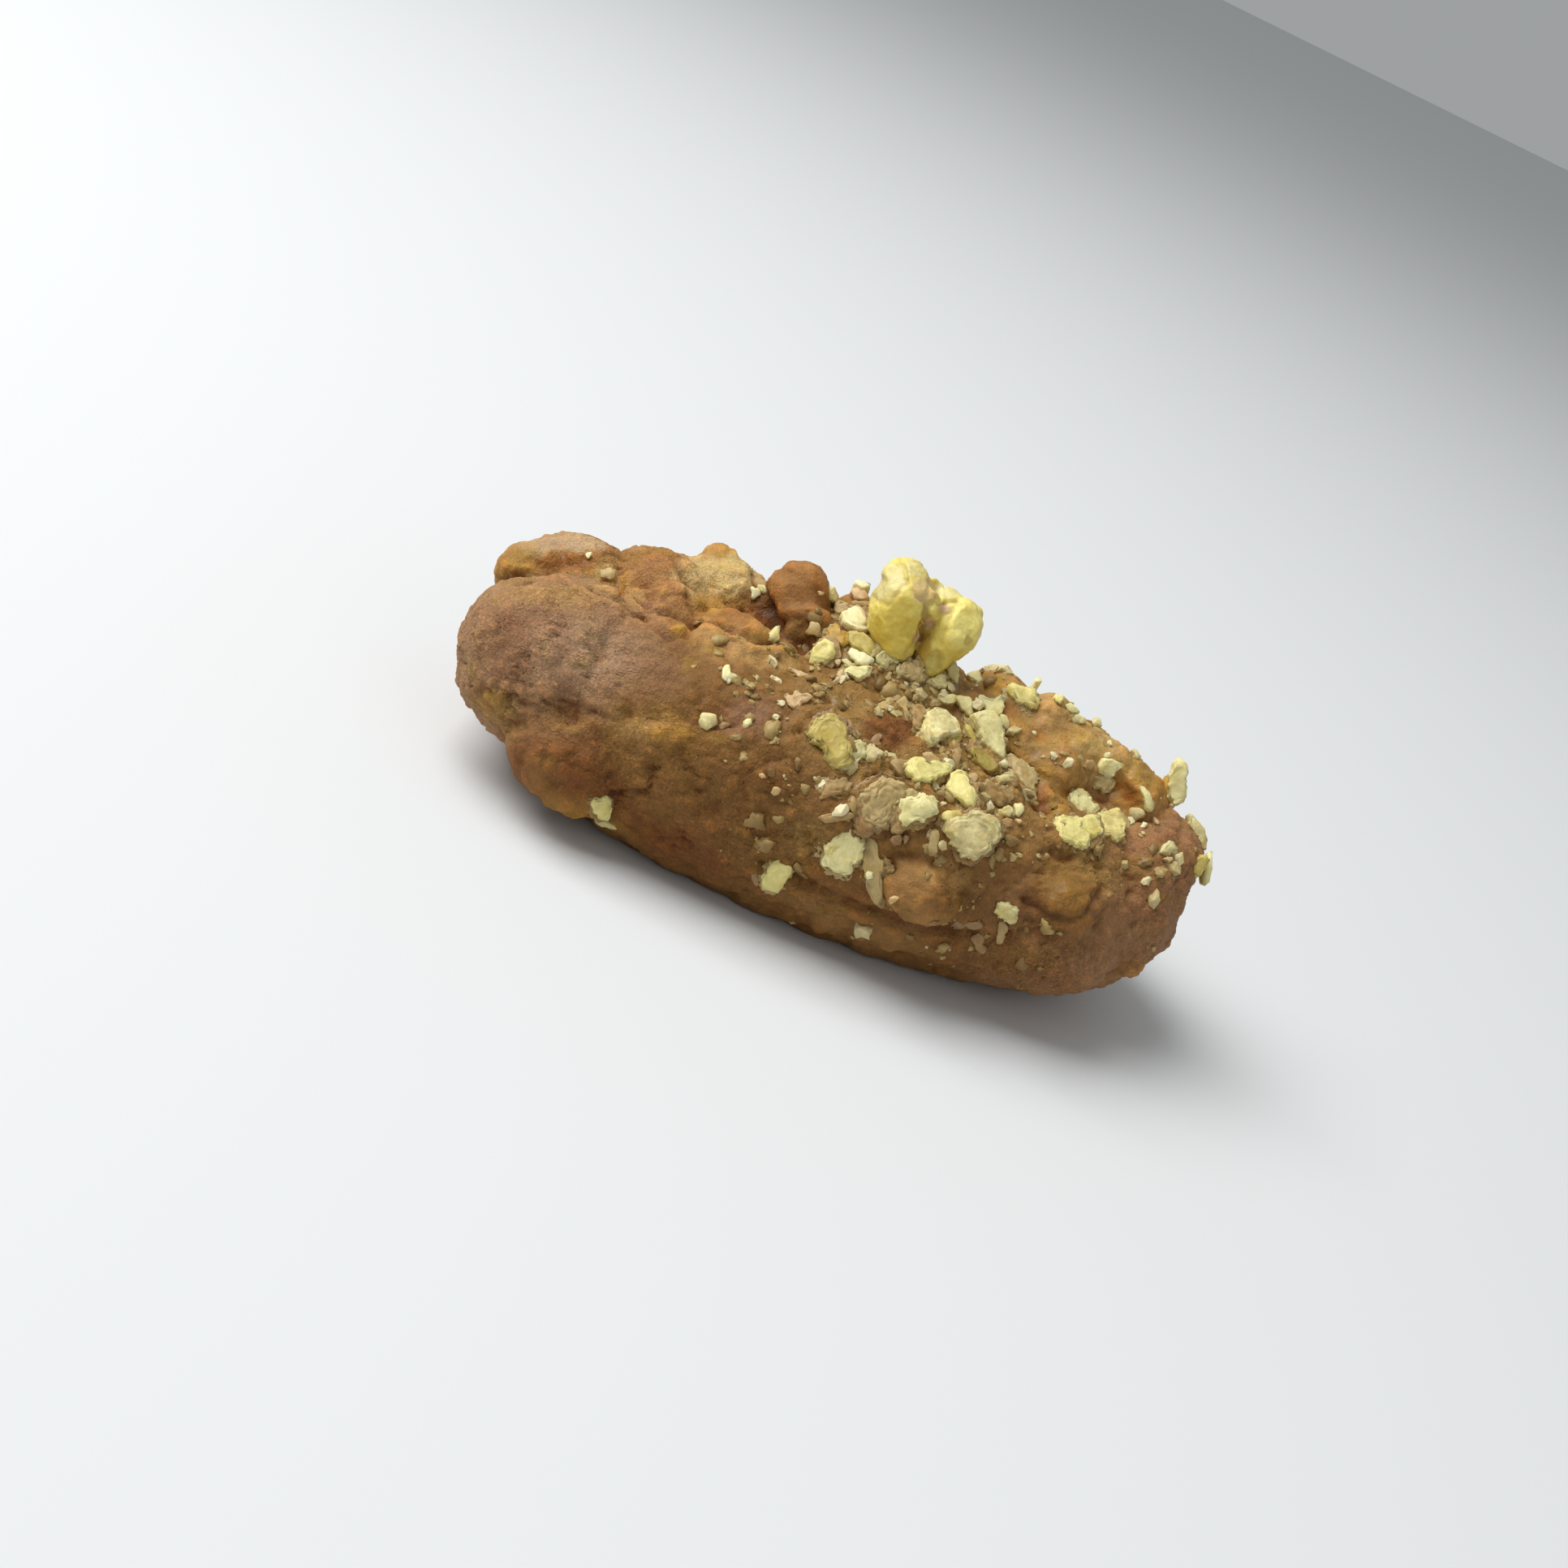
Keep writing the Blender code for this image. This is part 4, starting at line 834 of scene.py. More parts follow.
    Nut("crumb_f", NutKind.CRUMBLY, 1.1, NutTone.HAZE, ((1334, 962), (1338, 953), (1350, 953),
        (1368, 958), (1373, 963), (1369, 969), (1369, 977), (1352, 978), (1349, 970), (1340, 969))),
    Nut("tan_lump", NutKind.CRUMBLY, 0.9, NutTone.SOAKED, ((1333, 943), (1338, 937), (1345, 938),
        (1347, 944), (1343, 950), (1336, 949))),
    Nut("sliver_c", NutKind.SLAB, 1.1, NutTone.GREY, ((1402, 969), (1408, 969), (1415, 977), (1422, 992),
        (1420, 1000), (1413, 1002), (1409, 996), (1410, 988))),
    Nut("pale_pair", NutKind.CHUNK, 1.1, NutTone.GREY, ((1390, 1005), (1391, 998), (1400, 996),
        (1407, 999), (1410, 1005), (1399, 1013), (1392, 1011))),
    Nut("pip_b", NutKind.CHUNK, 1.0, NutTone.PALE, ((1432, 984), (1435, 978), (1440, 974), (1446, 977),
        (1445, 984), (1438, 985))),
    Nut("edge_up", NutKind.SLAB, 1.5, NutTone.PALE, ((1441, 952), (1448, 935), (1453, 933), (1458, 936),
        (1462, 946), (1463, 970), (1461, 984), (1457, 991), (1449, 993), (1438, 988)), 1.0),
    Nut("edge_nub", NutKind.CHUNK, 1.3, NutTone.SYRUP, ((1431, 976), (1437, 957), (1441, 951),
        (1443, 962), (1446, 990), (1434, 992)), 0.8),
    Nut("edge_strip", NutKind.SLAB, 0.8, NutTone.PALE, ((1464, 1004), (1468, 1004), (1483, 1021),
        (1482, 1026), (1486, 1032), (1486, 1048), (1480, 1044), (1463, 1018)), 0.8),
    Nut("edge_low", NutKind.CHUNK, 1.1, NutTone.YELLOW, ((1467, 1060), (1483, 1054), (1488, 1058),
        (1486, 1067), (1475, 1081), (1468, 1082)), 0.8),
    Nut("edge_low_side", NutKind.SLAB, 0.7, NutTone.PALE, ((1487, 1054), (1493, 1046), (1495, 1050),
        (1491, 1062), (1491, 1083), (1488, 1089), (1481, 1090), (1478, 1083), (1484, 1071)), 0.9),
    Nut("dry_crumb", NutKind.CRUMBLY, 1.4, NutTone.GREY, ((1428, 1044), (1435, 1039), (1445, 1039),
        (1450, 1052), (1422, 1053))),
    Nut("dry_crumb_low", NutKind.CRUMBLY, 1.0, NutTone.HAZE, ((1430, 1059), (1436, 1056), (1444, 1059),
        (1438, 1065), (1433, 1062))),
    Nut("crumb_h", NutKind.CRUMBLY, 1.1, NutTone.HAZE, ((1421, 1073), (1424, 1069), (1429, 1070),
        (1435, 1080), (1430, 1082), (1424, 1079))),
    Nut("right_pip_a", NutKind.FLAKE, 0.6, NutTone.CREAM, ((1403, 1021), (1408, 1014), (1413, 1017),
        (1409, 1022))),
    Nut("right_pip_b", NutKind.CHUNK, 0.7, NutTone.SKIN, ((1419, 1010), (1422, 1008), (1428, 1015),
        (1425, 1019), (1421, 1016))),
    Nut("right_pip_c", NutKind.CHUNK, 0.5, NutTone.SKIN, ((1405, 1026), (1411, 1026), (1410, 1030),
        (1406, 1030))),
    Nut("right_pip_d", NutKind.CHUNK, 0.6, NutTone.HUSK, ((1405, 1058), (1411, 1058), (1412, 1063),
        (1407, 1066))),
    Nut("right_pip_e", NutKind.CHUNK, 0.7, NutTone.SKIN, ((1437, 992), (1443, 989), (1448, 993),
        (1442, 998))),
    Nut("ridge_a", NutKind.CRUMBLY, 0.8, NutTone.BRIGHT, ((1299, 858), (1305, 856), (1311, 860),
        (1309, 865), (1304, 868), (1299, 865)), 0.45),
    Nut("ridge_b", NutKind.CRUMBLY, 0.8, NutTone.PALE, ((1309, 869), (1318, 867), (1325, 873),
        (1330, 879), (1322, 879), (1311, 877)), 0.45),
    Nut("ridge_c", NutKind.CRUMBLY, 0.8, NutTone.GREY, ((1317, 883), (1325, 879), (1331, 884),
        (1337, 887), (1334, 893), (1321, 891)), 0.45),
    Nut("ridge_d", NutKind.CRUMBLY, 0.8, NutTone.GREY, ((1341, 892), (1345, 887), (1352, 888),
        (1357, 896), (1350, 898)), 0.45),
    Nut("ridge_e", NutKind.SLAB, 0.8, NutTone.GREY, ((1392, 926), (1397, 923), (1400, 929), (1405, 936),
        (1400, 939), (1395, 933)), 0.45),
)


class Value:
    """A number that changes over a surface: a socket, with maths that adds its own nodes."""

    def __init__(self, graph: Graph, socket: Socket) -> None:
        """Keeps the tree and the socket that gives the number."""
        self.graph = graph
        self.socket = socket

    def _math(self, operation: str, first: Number, second: Number = 0.0) -> Value:
        """Adds one Math node for operation on first and second, and returns its result."""
        made = self.graph.node("ShaderNodeMath", {"operation": operation}, {0: first, 1: second})
        return Value(self.graph, made.outputs[0])

    def __add__(self, other: Number) -> Value:
        """Gives self + other."""
        return self._math("ADD", self, other)

    def __radd__(self, other: Number) -> Value:
        """Gives other + self."""
        return self._math("ADD", other, self)

    def __sub__(self, other: Number) -> Value:
        """Gives self - other."""
        return self._math("SUBTRACT", self, other)

    def __rsub__(self, other: Number) -> Value:
        """Gives other - self."""
        return self._math("SUBTRACT", other, self)

    def __mul__(self, other: Number) -> Value:
        """Gives self * other."""
        return self._math("MULTIPLY", self, other)

    def __rmul__(self, other: Number) -> Value:
        """Gives other * self."""
        return self._math("MULTIPLY", other, self)

    def __truediv__(self, other: Number) -> Value:
        """Gives self / other."""
        return self._math("DIVIDE", self, other)

    def __rtruediv__(self, other: Number) -> Value:
        """Gives other / self."""
        return self._math("DIVIDE", other, self)

    def __pow__(self, other: Number) -> Value:
        """Gives self ** other."""
        return self._math("POWER", self, other)

    def __abs__(self) -> Value:
        """Gives the size of self, whatever its sign."""
        return self._math("ABSOLUTE", self)

    def most(self, other: Number) -> Value:
        """Gives the larger of self and other."""
        return self._math("MAXIMUM", self, other)

    def step(self, low: float, high: float) -> Value:
        """Rises smoothly from 0 where self is low to 1 where it is high.

        Args:
            low: the value that becomes 0.
            high: the value that becomes 1. It may be the smaller of the two.

        Returns:
            A number from 0 to 1.
        """
        made = self.graph.node(
            "ShaderNodeMapRange",
            {"interpolation_type": "SMOOTHSTEP"},
            {"Value": self, "From Min": low, "From Max": high, "To Min": 0.0, "To Max": 1.0},
        )
        return Value(self.graph, made.outputs[0])


class Graph:
    """A node tree, shader or geometry, with one method that adds any node."""

    def __init__(self, tree: bpy.types.NodeTree) -> None:
        """Keeps the tree that the nodes go in."""
        self.tree = tree

    def node(
        self,
        kind: str,
        settings: Mapping[str, Any] | None = None,
        inputs: Mapping[Union[int, str], Any] | None = None,
    ) -> bpy.types.Node:
        """Adds one node.

        Args:
            kind: the node's type.
            settings: its own settings, which are set before its sockets.
            inputs: a value or a link for each socket, by the socket's number, identifier or name.

        Returns:
            The new node.
        """
        made = self.tree.nodes.new(kind)
        for name, value in (settings or {}).items():
            setattr(made, name, value)
        for key, value in (inputs or {}).items():
            self._feed(self._socket(made, key), value)
        return made

    def _socket(self, node: bpy.types.Node, key: Union[int, str]) -> Socket:
        """Finds a node's input by number, identifier or name."""
        if isinstance(key, int):
            return node.inputs[key]
        usable = [socket for socket in node.inputs if socket.enabled]
        found = [socket for socket in usable if key == socket.identifier]
        return (found or [socket for socket in usable if key == socket.name])[0]

    def _feed(self, socket: Socket, value: Any) -> None:
        """Links a socket to value, or sets it to value where that is no socket."""
        value = value.socket if isinstance(value, Value) else value
        if isinstance(value, Socket):
            self.tree.links.new(value, socket)
        elif socket.type == "RGBA":
            socket.default_value = (*value, 1.0)
        else:
            socket.default_value = value

    def blend(self, low: Paint, high: Paint, factor: Number, mode: str = "MIX") -> Socket:
        """Mixes two colours.

        Args:
            low: the colour where factor is 0.
            high: the colour where factor is 1.
            factor: how much of high there is.
            mode: how the two are combined.

        Returns:
            The mixed colour.
        """
        settings = {"data_type": "RGBA", "blend_type": mode}
        made = self.node(
            "ShaderNodeMix", settings, {"Factor_Float": factor, "A_Color": low, "B_Color": high}
        )
        return made.outputs[2]  # the first two are the results for numbers and for vectors

    def noise(self, place: Socket, size: Number, detail: float = 2.0, roughness: float = 0.5) -> Value:
        """Adds soft noise around 0.5 whose lumps are about size millimetres apart.

        Args:
            place: where on the surface, in metres.
            size: spacing of the lumps.
            detail: how many finer layers it has.
            roughness: how strong those are.

        Returns:
            The noise.
        """
        made = self.node(
            "ShaderNodeTexNoise",
            inputs={"Vector": place, "Scale": 1 / (size * MM), "Detail": detail, "Roughness": roughness},
        )
        return Value(self, made.outputs[0])

    def vector(self, operation: str, first: Any, second: Any) -> Socket:
        """Adds one Vector Math node for operation on first and second, and returns its result."""
        key = "Scale" if operation == "SCALE" else 1
        made = self.node("ShaderNodeVectorMath", {"operation": operation}, {0: first, key: second})
        return made.outputs["Value" if operation == "DOT_PRODUCT" else "Vector"]

    def scaled(self, place: Socket, shares: Place) -> Socket:
        """Multiplies places by one share for each axis, which draws a pattern on them out."""
        return self.vector("MULTIPLY", place, shares)

    def lines(self, place: Socket, size: float, width: float = 0.035) -> Value:
        """Draws thin wandering lines.

        Args:
            place: where on the surface, in metres.
            size: how far apart they are, in millimetres.
            width: how wide they are, as a share of the noise that they follow.

        Returns:
            1 on a line and 0 beside it.
        """
        return abs(self.noise(place, size, 2.0) - 0.5).step(width, 0.0)

    def warp(self, place: Socket, size: float, strength: float) -> Socket:
        """Shifts places by noise, so that a pattern on them loses its straight edges.

        Args:
            place: where on the surface, in metres.
            size: spacing of the shifts, in millimetres.
            strength: the largest shift, in millimetres.

        Returns:
            The shifted places.
        """
        shifts = self.node("ShaderNodeTexNoise", inputs={"Vector": place, "Scale": 1 / (size * MM)})
        centred = self.vector("SUBTRACT", shifts.outputs[1], (0.5, 0.5, 0.5))
        return self.vector("ADD", place, self.vector("SCALE", centred, 2 * strength * MM))

    def cells(self, place: Socket, size: Number, feature: str = "F1") -> Value:
        """Adds a pattern of cells.

        Args:
            place: where on the surface, in metres.
            size: spacing of the cells, in millimetres.
            feature: which distance is given, to a cell's middle or to its edge.

        Returns:
            The distance, as a share of the spacing.
        """
        made = self.node(
            "ShaderNodeTexVoronoi", {"feature": feature}, {"Vector": place, "Scale": 1 / (size * MM)}
        )
        return Value(self, made.outputs["Distance"])


class Shader(Graph):
    """A material's tree round one Principled shader."""

    def __init__(self, name: str) -> None:
        """Makes the material, whose tree starts with the shader and the output."""
        self.material = bpy.data.materials.new(name)
        self.material.use_nodes = True
        super().__init__(self.material.node_tree)
        self.surface = self.tree.nodes["Principled BSDF"]
        self.place = self.node("ShaderNodeTexCoord").outputs["Object"]

    def attribute(self, name: str) -> bpy.types.Node:
        """Reads what is painted on the mesh under name."""
        return self.node("ShaderNodeAttribute", {"attribute_name": name})

    def painted(self, name: str) -> Socket:
        """Gives the colour that is painted on the mesh under name."""
        return self.attribute(name).outputs["Color"]

    def amount(self, name: str) -> Value:
        """Gives the number that is painted on the mesh under name."""
        return Value(self, self.attribute(name).outputs["Fac"])

    def set(self, **values: Any) -> None:
        """Sets or links sockets of the shader, each named in lower case with underscores."""
        for name, value in values.items():
            title = name.replace("_", " ").title().replace("Ior", "IOR")
            self._feed(self._socket(self.surface, title), value)

    def soften(self, weight: float, depth: float) -> None:
        """Lets as much light as weight in under the surface, as deep as depth in millimetres."""
        self.set(subsurface_weight=weight, subsurface_scale=depth * MM)

    def tinted(self, colour: Paint, tint: Paint, share: Number) -> Socket:
        """Multiplies a colour by a tint, as far as share goes."""
        return self.blend(colour, tint, share, "MULTIPLY")

    def bump(self, height: Value, depth: float) -> Socket:
        """Turns a height from 0 to 1 into the normal of a relief so many millimetres deep."""
        inputs = {"Strength": 1.0, "Distance": depth * MM, "Height": height}
        return self.node("ShaderNodeBump", inputs=inputs).outputs["Normal"]


class Relief(Graph):
    """A Geometry Nodes tree with named inputs, and the modifier that runs it."""

    def __init__(self, name: str) -> None:
        """Makes the tree with its geometry going in and out."""
        super().__init__(bpy.data.node_groups.new(name, "GeometryNodeTree"))
        self.tree.interface.new_socket("Geometry", in_out="INPUT", socket_type="NodeSocketGeometry")
        self.tree.interface.new_socket("Geometry", in_out="OUTPUT", socket_type="NodeSocketGeometry")
        self.entry = self.node("NodeGroupInput")
        self.exit = self.node("NodeGroupOutput")
        self.identifiers: dict[str, str] = {}

    def add_input(self, name: str, kind: str) -> Socket:
        """Adds a named input.

        Args:
            name: what it is called.
            kind: what it takes, such as Float, Int, Collection or Material.

        Returns:
            The socket that gives it inside the tree.
        """
        made = self.tree.interface.new_socket(name, in_out="INPUT", socket_type=f"NodeSocket{kind}")
        self.identifiers[name] = made.identifier
        return self.entry.outputs[name]

    def number(self, name: str) -> Value:
        """Adds a named input that takes a number."""
        return Value(self, self.add_input(name, "Float"))

    def stored(self, name: str) -> Value:
        """Reads the number that is painted on the mesh under name."""
        made = self.node("GeometryNodeInputNamedAttribute", {"data_type": "FLOAT"}, {"Name": name})
        return Value(self, made.outputs[0])

    def random(self, kind: str, low: Any, high: Any, seed: int) -> Socket:
        """Draws one random number or vector for each element.

        Args:
            kind: FLOAT or FLOAT_VECTOR.
            low: the smallest.
            high: the largest.
            seed: what the draws follow.

        Returns:
            The draws.
        """
        made = self.node(
            "FunctionNodeRandomValue", {"data_type": kind}, {"Min": low, "Max": high, "Seed": seed}
        )
        return [socket for socket in made.outputs if socket.enabled][0]

    def store(self, geometry: Socket, name: str, value: Number, domain: str = "POINT") -> Socket:
        """Paints a number on the geometry.

        Args:
            geometry: what it is painted on.
            name: what it is painted as.
            value: the number.
            domain: what carries it.

        Returns:
            The painted geometry.
        """
        made = self.node(
            "GeometryNodeStoreNamedAttribute",
            {"data_type": "FLOAT", "domain": domain},
            {"Geometry": geometry, "Name": name, "Value": value},
        )
        return made.outputs[0]

    def close(self, geometry: Socket, finish: Socket) -> None:
        """Ends the tree with real meshes that carry their finish."""
        real = self.node("GeometryNodeRealizeInstances", inputs={"Geometry": geometry}).outputs[0]
        dressed = self.node("GeometryNodeSetMaterial", inputs={"Geometry": real, "Material": finish})
        self.tree.links.new(dressed.outputs[0], self.exit.inputs[0])

    def run(self, base: bpy.types.Object, values: Mapping[str, Any]) -> bpy.types.Mesh:
        """Runs the tree on base.

        Args:
            base: the object that goes in.
            values: what each named input is set to.

        Returns:
            The mesh that comes out. The modifier is removed from base.
        """
        modifier = base.modifiers.new(self.tree.name, "NODES")
        modifier.node_group = self.tree
        for name, value in values.items():
            modifier[self.identifiers[name]] = value
        graph = bpy.context.evaluated_depsgraph_get()
        mesh = bpy.data.meshes.new_from_object(base.evaluated_get(graph))
        base.modifiers.remove(modifier)
        return mesh


def read_points(mesh: bpy.types.Mesh) -> np.ndarray:
    """Gives the mesh's vertices, one row each, in millimetres."""
    flat = np.empty(len(mesh.vertices) * 3, np.float32)
    mesh.vertices.foreach_get("co", flat)
    return flat.reshape(-1, 3).astype(float) / MM


def read_normals(mesh: bpy.types.Mesh) -> np.ndarray:
    """Gives the normals of the mesh's vertices, one row each."""
    flat = np.empty(len(mesh.vertices) * 3, np.float32)
    mesh.vertex_normals.foreach_get("vector", flat)
    return flat.reshape(-1, 3).astype(float)


def write_points(mesh: bpy.types.Mesh, points: np.ndarray) -> None:
    """Moves the mesh's vertices to points, in millimetres."""
    mesh.vertices.foreach_set("co", (points * MM).astype(np.float32).ravel())
    mesh.update()


def paint(mesh: bpy.types.Mesh, name: str, values: np.ndarray) -> None:
    """Paints one number or one colour on each vertex.

    Args:
        mesh: what is painted.
        name: what the paint is called.
        values: one number, or red, green and blue, for each vertex.
    """
    if values.ndim == 1:
        layer = mesh.attributes.new(name, "FLOAT", "POINT")
        layer.data.foreach_set("value", values.astype(np.float32))
        return
    layer = mesh.attributes.new(name, "FLOAT_COLOR", "POINT")
    opaque = np.column_stack([values, np.ones(len(values))])
    layer.data.foreach_set("color", opaque.astype(np.float32).ravel())


def new_object(name: str, mesh: bpy.types.Mesh) -> bpy.types.Object:
    """Puts a mesh in a new object at the origin."""
    made = bpy.data.objects.new(name, mesh)
    bpy.context.scene.collection.objects.link(made)
    return made


def mesh_from(name: str, shape: bmesh.types.BMesh) -> bpy.types.Mesh:
    """Turns a bmesh into a mesh and frees it."""
    mesh = bpy.data.meshes.new(name)
    shape.to_mesh(mesh)
    shape.free()
    return mesh


def billow(points: np.ndarray, size: float) -> np.ndarray:
    """Gives round lumps with furrows between them, about size millimetres apart, for rows of points."""
    return np.array([abs(noise.noise(Vector(point) / size)) * 2.4 - 0.5 for point in points])


def wander(points: np.ndarray, size: float, reach: float) -> np.ndarray:
    """Gives a soft shift across and down for each row of points.

    Args:
        points: places, in millimetres.
        size: how far apart the shifts differ.
        reach: the largest shift.

    Returns:
        Two numbers for each point.
    """
    return np.array([noise.noise_vector(Vector(point) / size)[:2] for point in points]) * reach


def cover(colour: np.ndarray, tone: Union[Tone, NutTone], weight: np.ndarray) -> np.ndarray:
    """Lays a tone over rows of colours, each by its own weight, and gives the new colours."""
    return colour + weight[:, None] * (np.array(tone.value) - colour)


def smooth_shade(mesh: bpy.types.Mesh) -> None:
    """Shades the mesh's faces as parts of one smooth skin."""
    mesh.polygons.foreach_set("use_smooth", np.ones(len(mesh.polygons), bool))


@dataclass(frozen=True)
class DoughFinish:
    """Soft baked dough that has drunk honey syrup, with painted shade in its hollows, creases and pores
    and painted highlights on its ridges, clump tops and glints.

    Attributes:
        crinkle_size: spacing of the fine crinkles.
        crinkle_reach: how much longer than wide they are.
    """

    roughness: float = 0.6
    wet_roughness: float = 0.34
    wet_coat: float = 0.22
    softness: float = 0.12
    softness_depth: float = 1.2
    crinkle_size: float = 1.0
    crinkle_reach: float = 3.2

    def material(self) -> bpy.types.Material:
        """Builds the finish and returns it."""
        shader = Shader("honeyed_dough")
        place = shader.place
        hollow = shader.amount("hollow")
        syrup = shader.amount("syrup")
        rosy = shader.noise(place, 3.2, 4.0, 0.6).step(0.42, 0.66)
        olive = shader.noise(shader.warp(place, 2.0, 1.5), 2.1, 3.0, 0.6).step(0.5, 0.72)
        colour = shader.tinted(shader.painted("tone"), (1.0, 0.88, 0.88), rosy * 0.6)
        colour = shader.tinted(colour, (0.92, 1.0, 0.72), olive * 0.7)
        patchy = shader.noise(place, 1.1, 4.0, 0.65).step(0.3, 0.75)
        colour = shader.blend(colour, shader.tinted(colour, (1.4, 1.34, 1.2), 1.0), patchy * 0.5)
        # Painted shade: hollows are painted darker the deeper they lie, and less dark where syrup lies in
        # them.
        deep = hollow.step(0.02, 0.4)
        soaked = shader.blend((0.60, 0.40, 0.24), (0.98, 0.66, 0.30), syrup.step(0.2, 0.6))
        crease = self._crease(shader, place)
        sandy = 0.35 + shader.amount("sandy") * 0.65
        sand = shader.noise(place, 0.3, 3.0, 0.7).step(0.48, 0.66)
        dust = shader.noise(place, 0.2, 2.0, 0.6).step(0.56, 0.4)
        coarse = shader.amount("coarse").step(0.1, 1.3)
        clumps = shader.noise(shader.warp(place, 0.8, 0.4), 0.75, 3.0, 0.7)
        pore = shader.cells(place, 0.75).step(0.13, 0.04) * shader.noise(place, 2.4).step(0.5, 0.6)
        tints = (
            # painted shade in the hollows
            (soaked, deep * 0.85),
            # painted highlight: raised, rounded places are painted lighter
            ((1.35, 1.25, 1.1), hollow.step(-0.04, -0.28) * 0.8),
            # painted shade in the fine creases
            ((0.55, 0.42, 0.32), crease * 0.25),
            ((1.55, 1.5, 1.44), sand * sandy * 0.9),
            ((0.70, 0.62, 0.54), dust * sandy * 0.7),
            # painted highlight on the clumps' raised tops and painted shade between them, following their
            # relief
            ((1.4, 1.38, 1.25), clumps.step(0.5, 0.66) * coarse * 0.8),
            ((0.68, 0.52, 0.32), clumps.step(0.46, 0.32) * coarse * 0.8),
            # painted shade in the pits
            ((0.32, 0.22, 0.16), pore * 0.75),
        )
        for tint, share in tints:
            colour = shader.tinted(colour, tint, share)
        # painted glints: tiny light specks in the base colour that stand in for glints on the grain
        painted_glint = shader.cells(place, 0.8).step(0.14, 0.05) * shader.noise(place, 1.7, 2.0).step(0.47, 0.6)
        painted_glint = painted_glint * (1 - pore)
        colour = shader.blend(colour, (0.62, 0.46, 0.24), painted_glint * 0.5)
        grain = shader.noise(place, 0.3, 3.0, 0.65)
        height = grain * (sandy + coarse * 0.6) * 1.1 + clumps * coarse * 0.9
        height = height + shader.noise(place, 0.8, 2.0, 0.55) * 0.4
        height = height - pore * 0.5 + painted_glint * 0.3 - crease * 0.35
        wet = (syrup + deep * 0.5) * shader.noise(place, 1.6).step(0.35, 0.6)
        shader.set(
            base_color=colour,
            roughness=self.roughness - wet * (self.roughness - self.wet_roughness) + grain * 0.1,
            coat_weight=wet * self.wet_coat,
            coat_roughness=0.2,
            subsurface_radius=(1.0, 0.45, 0.2),
            specular_ior_level=0.2,
            normal=shader.bump(height, 0.34),
        )
        shader.soften(self.softness, self.softness_depth)
        return shader.material

    def _crease(self, shader: Shader, place: Socket) -> Value:
        """Draws thin lines between crinkles, and a few of them everywhere, which the colour takes as
        painted shade and the bump as furrows.

        Args:
            shader: the material's tree.
            place: where on the surface.

        Returns:
            1 in a line and 0 beside it.
        """
        reach = self.crinkle_reach
        along = shader.warp(shader.scaled(place, (1 / reach, 1.0, 1.0)), 1.6, 0.5)
        across = shader.warp(shader.scaled(place, (1.0, 1 / reach, 1 / reach)), 1.6, 0.5)
        here = shader.noise(place, 2.6, 2.0).step(0.4, 0.6)
        lines = shader.lines(along, self.crinkle_size) * shader.amount("along")
        lines = lines.most(shader.lines(across, self.crinkle_size) * shader.amount("across"))
        return lines.most(shader.lines(shader.warp(place, 1.6, 0.7), 2.0) * 0.15) * here


@dataclass(frozen=True)
class NutFinish:
    """Broken walnut: waxy where it snapped, chalky where it crumbled, with shreds of brown skin."""

    roughness: float = 0.5
    softness: float = 0.35
    softness_depth: float = 0.9
    skin: Colour = (0.30, 0.15, 0.055)

    def material(self) -> bpy.types.Material:
        """Builds the finish and returns it."""
        shader = Shader("broken_walnut")
        place = shader.place
        warm = shader.noise(place, 1.5, 3.0, 0.6).step(0.48, 0.72)
        chalk = shader.noise(place, 0.5, 3.0, 0.6).step(0.5, 0.7)
        colour = shader.tinted(shader.painted("tone"), (0.9, 0.80, 0.52), warm * 0.8)
        colour = shader.tinted(colour, (1.2, 1.2, 1.26), chalk * 0.8)
        brown = shader.amount("skin") * shader.noise(place, 0.9, 3.0, 0.6).step(0.36, 0.6)
        flakes = shader.cells(shader.warp(place, 0.8, 0.3), 0.7)
        height = shader.noise(place, 0.28, 3.0, 0.6) * 0.5 + flakes * 0.5
        shader.set(
            base_color=shader.blend(colour, self.skin, brown),
            roughness=self.roughness + chalk * 0.15 - warm * 0.1,
            coat_weight=0.05 + warm * 0.1,
            coat_roughness=0.25,
            subsurface_radius=(1.0, 0.85, 0.5),
            specular_ior_level=0.35,
            normal=shader.bump(height, 0.13),
        )
        shader.soften(self.softness, self.softness_depth)
        return shader.material


@dataclass(frozen=True)
class CrumbFinish:
    """Crumbs that run from one colour to another, each with its own share."""

    name: str
    dark: Colour
    light: Colour
    roughness: float
    softness: float = 0.3
    softness_depth: float = 0.8

    def material(self) -> bpy.types.Material:
        """Builds the finish and returns it."""
        shader = Shader(self.name)
        shade = shader.amount("shade") + shader.noise(shader.place, 0.6, 2.0) * 0.5 - 0.25
        shader.set(
            base_color=shader.blend(self.dark, self.light, shade.step(0.0, 1.0)),
            roughness=self.roughness,
            subsurface_radius=(1.0, 0.8, 0.5),
            specular_ior_level=0.3,
            normal=shader.bump(shader.noise(shader.place, 0.25, 2.0), 0.06),
        )
        shader.soften(self.softness, self.softness_depth)
        return shader.material


@dataclass(frozen=True)
class PlainFinish:
    """An even, matt surface for what isn't part of the biscuit."""

    name: str
    colour: Colour
    roughness: float

    def material(self) -> bpy.types.Material:
        """Builds the finish and returns it."""
        shader = Shader(self.name)
        shader.set(base_color=self.colour, roughness=self.roughness)
        return shader.material


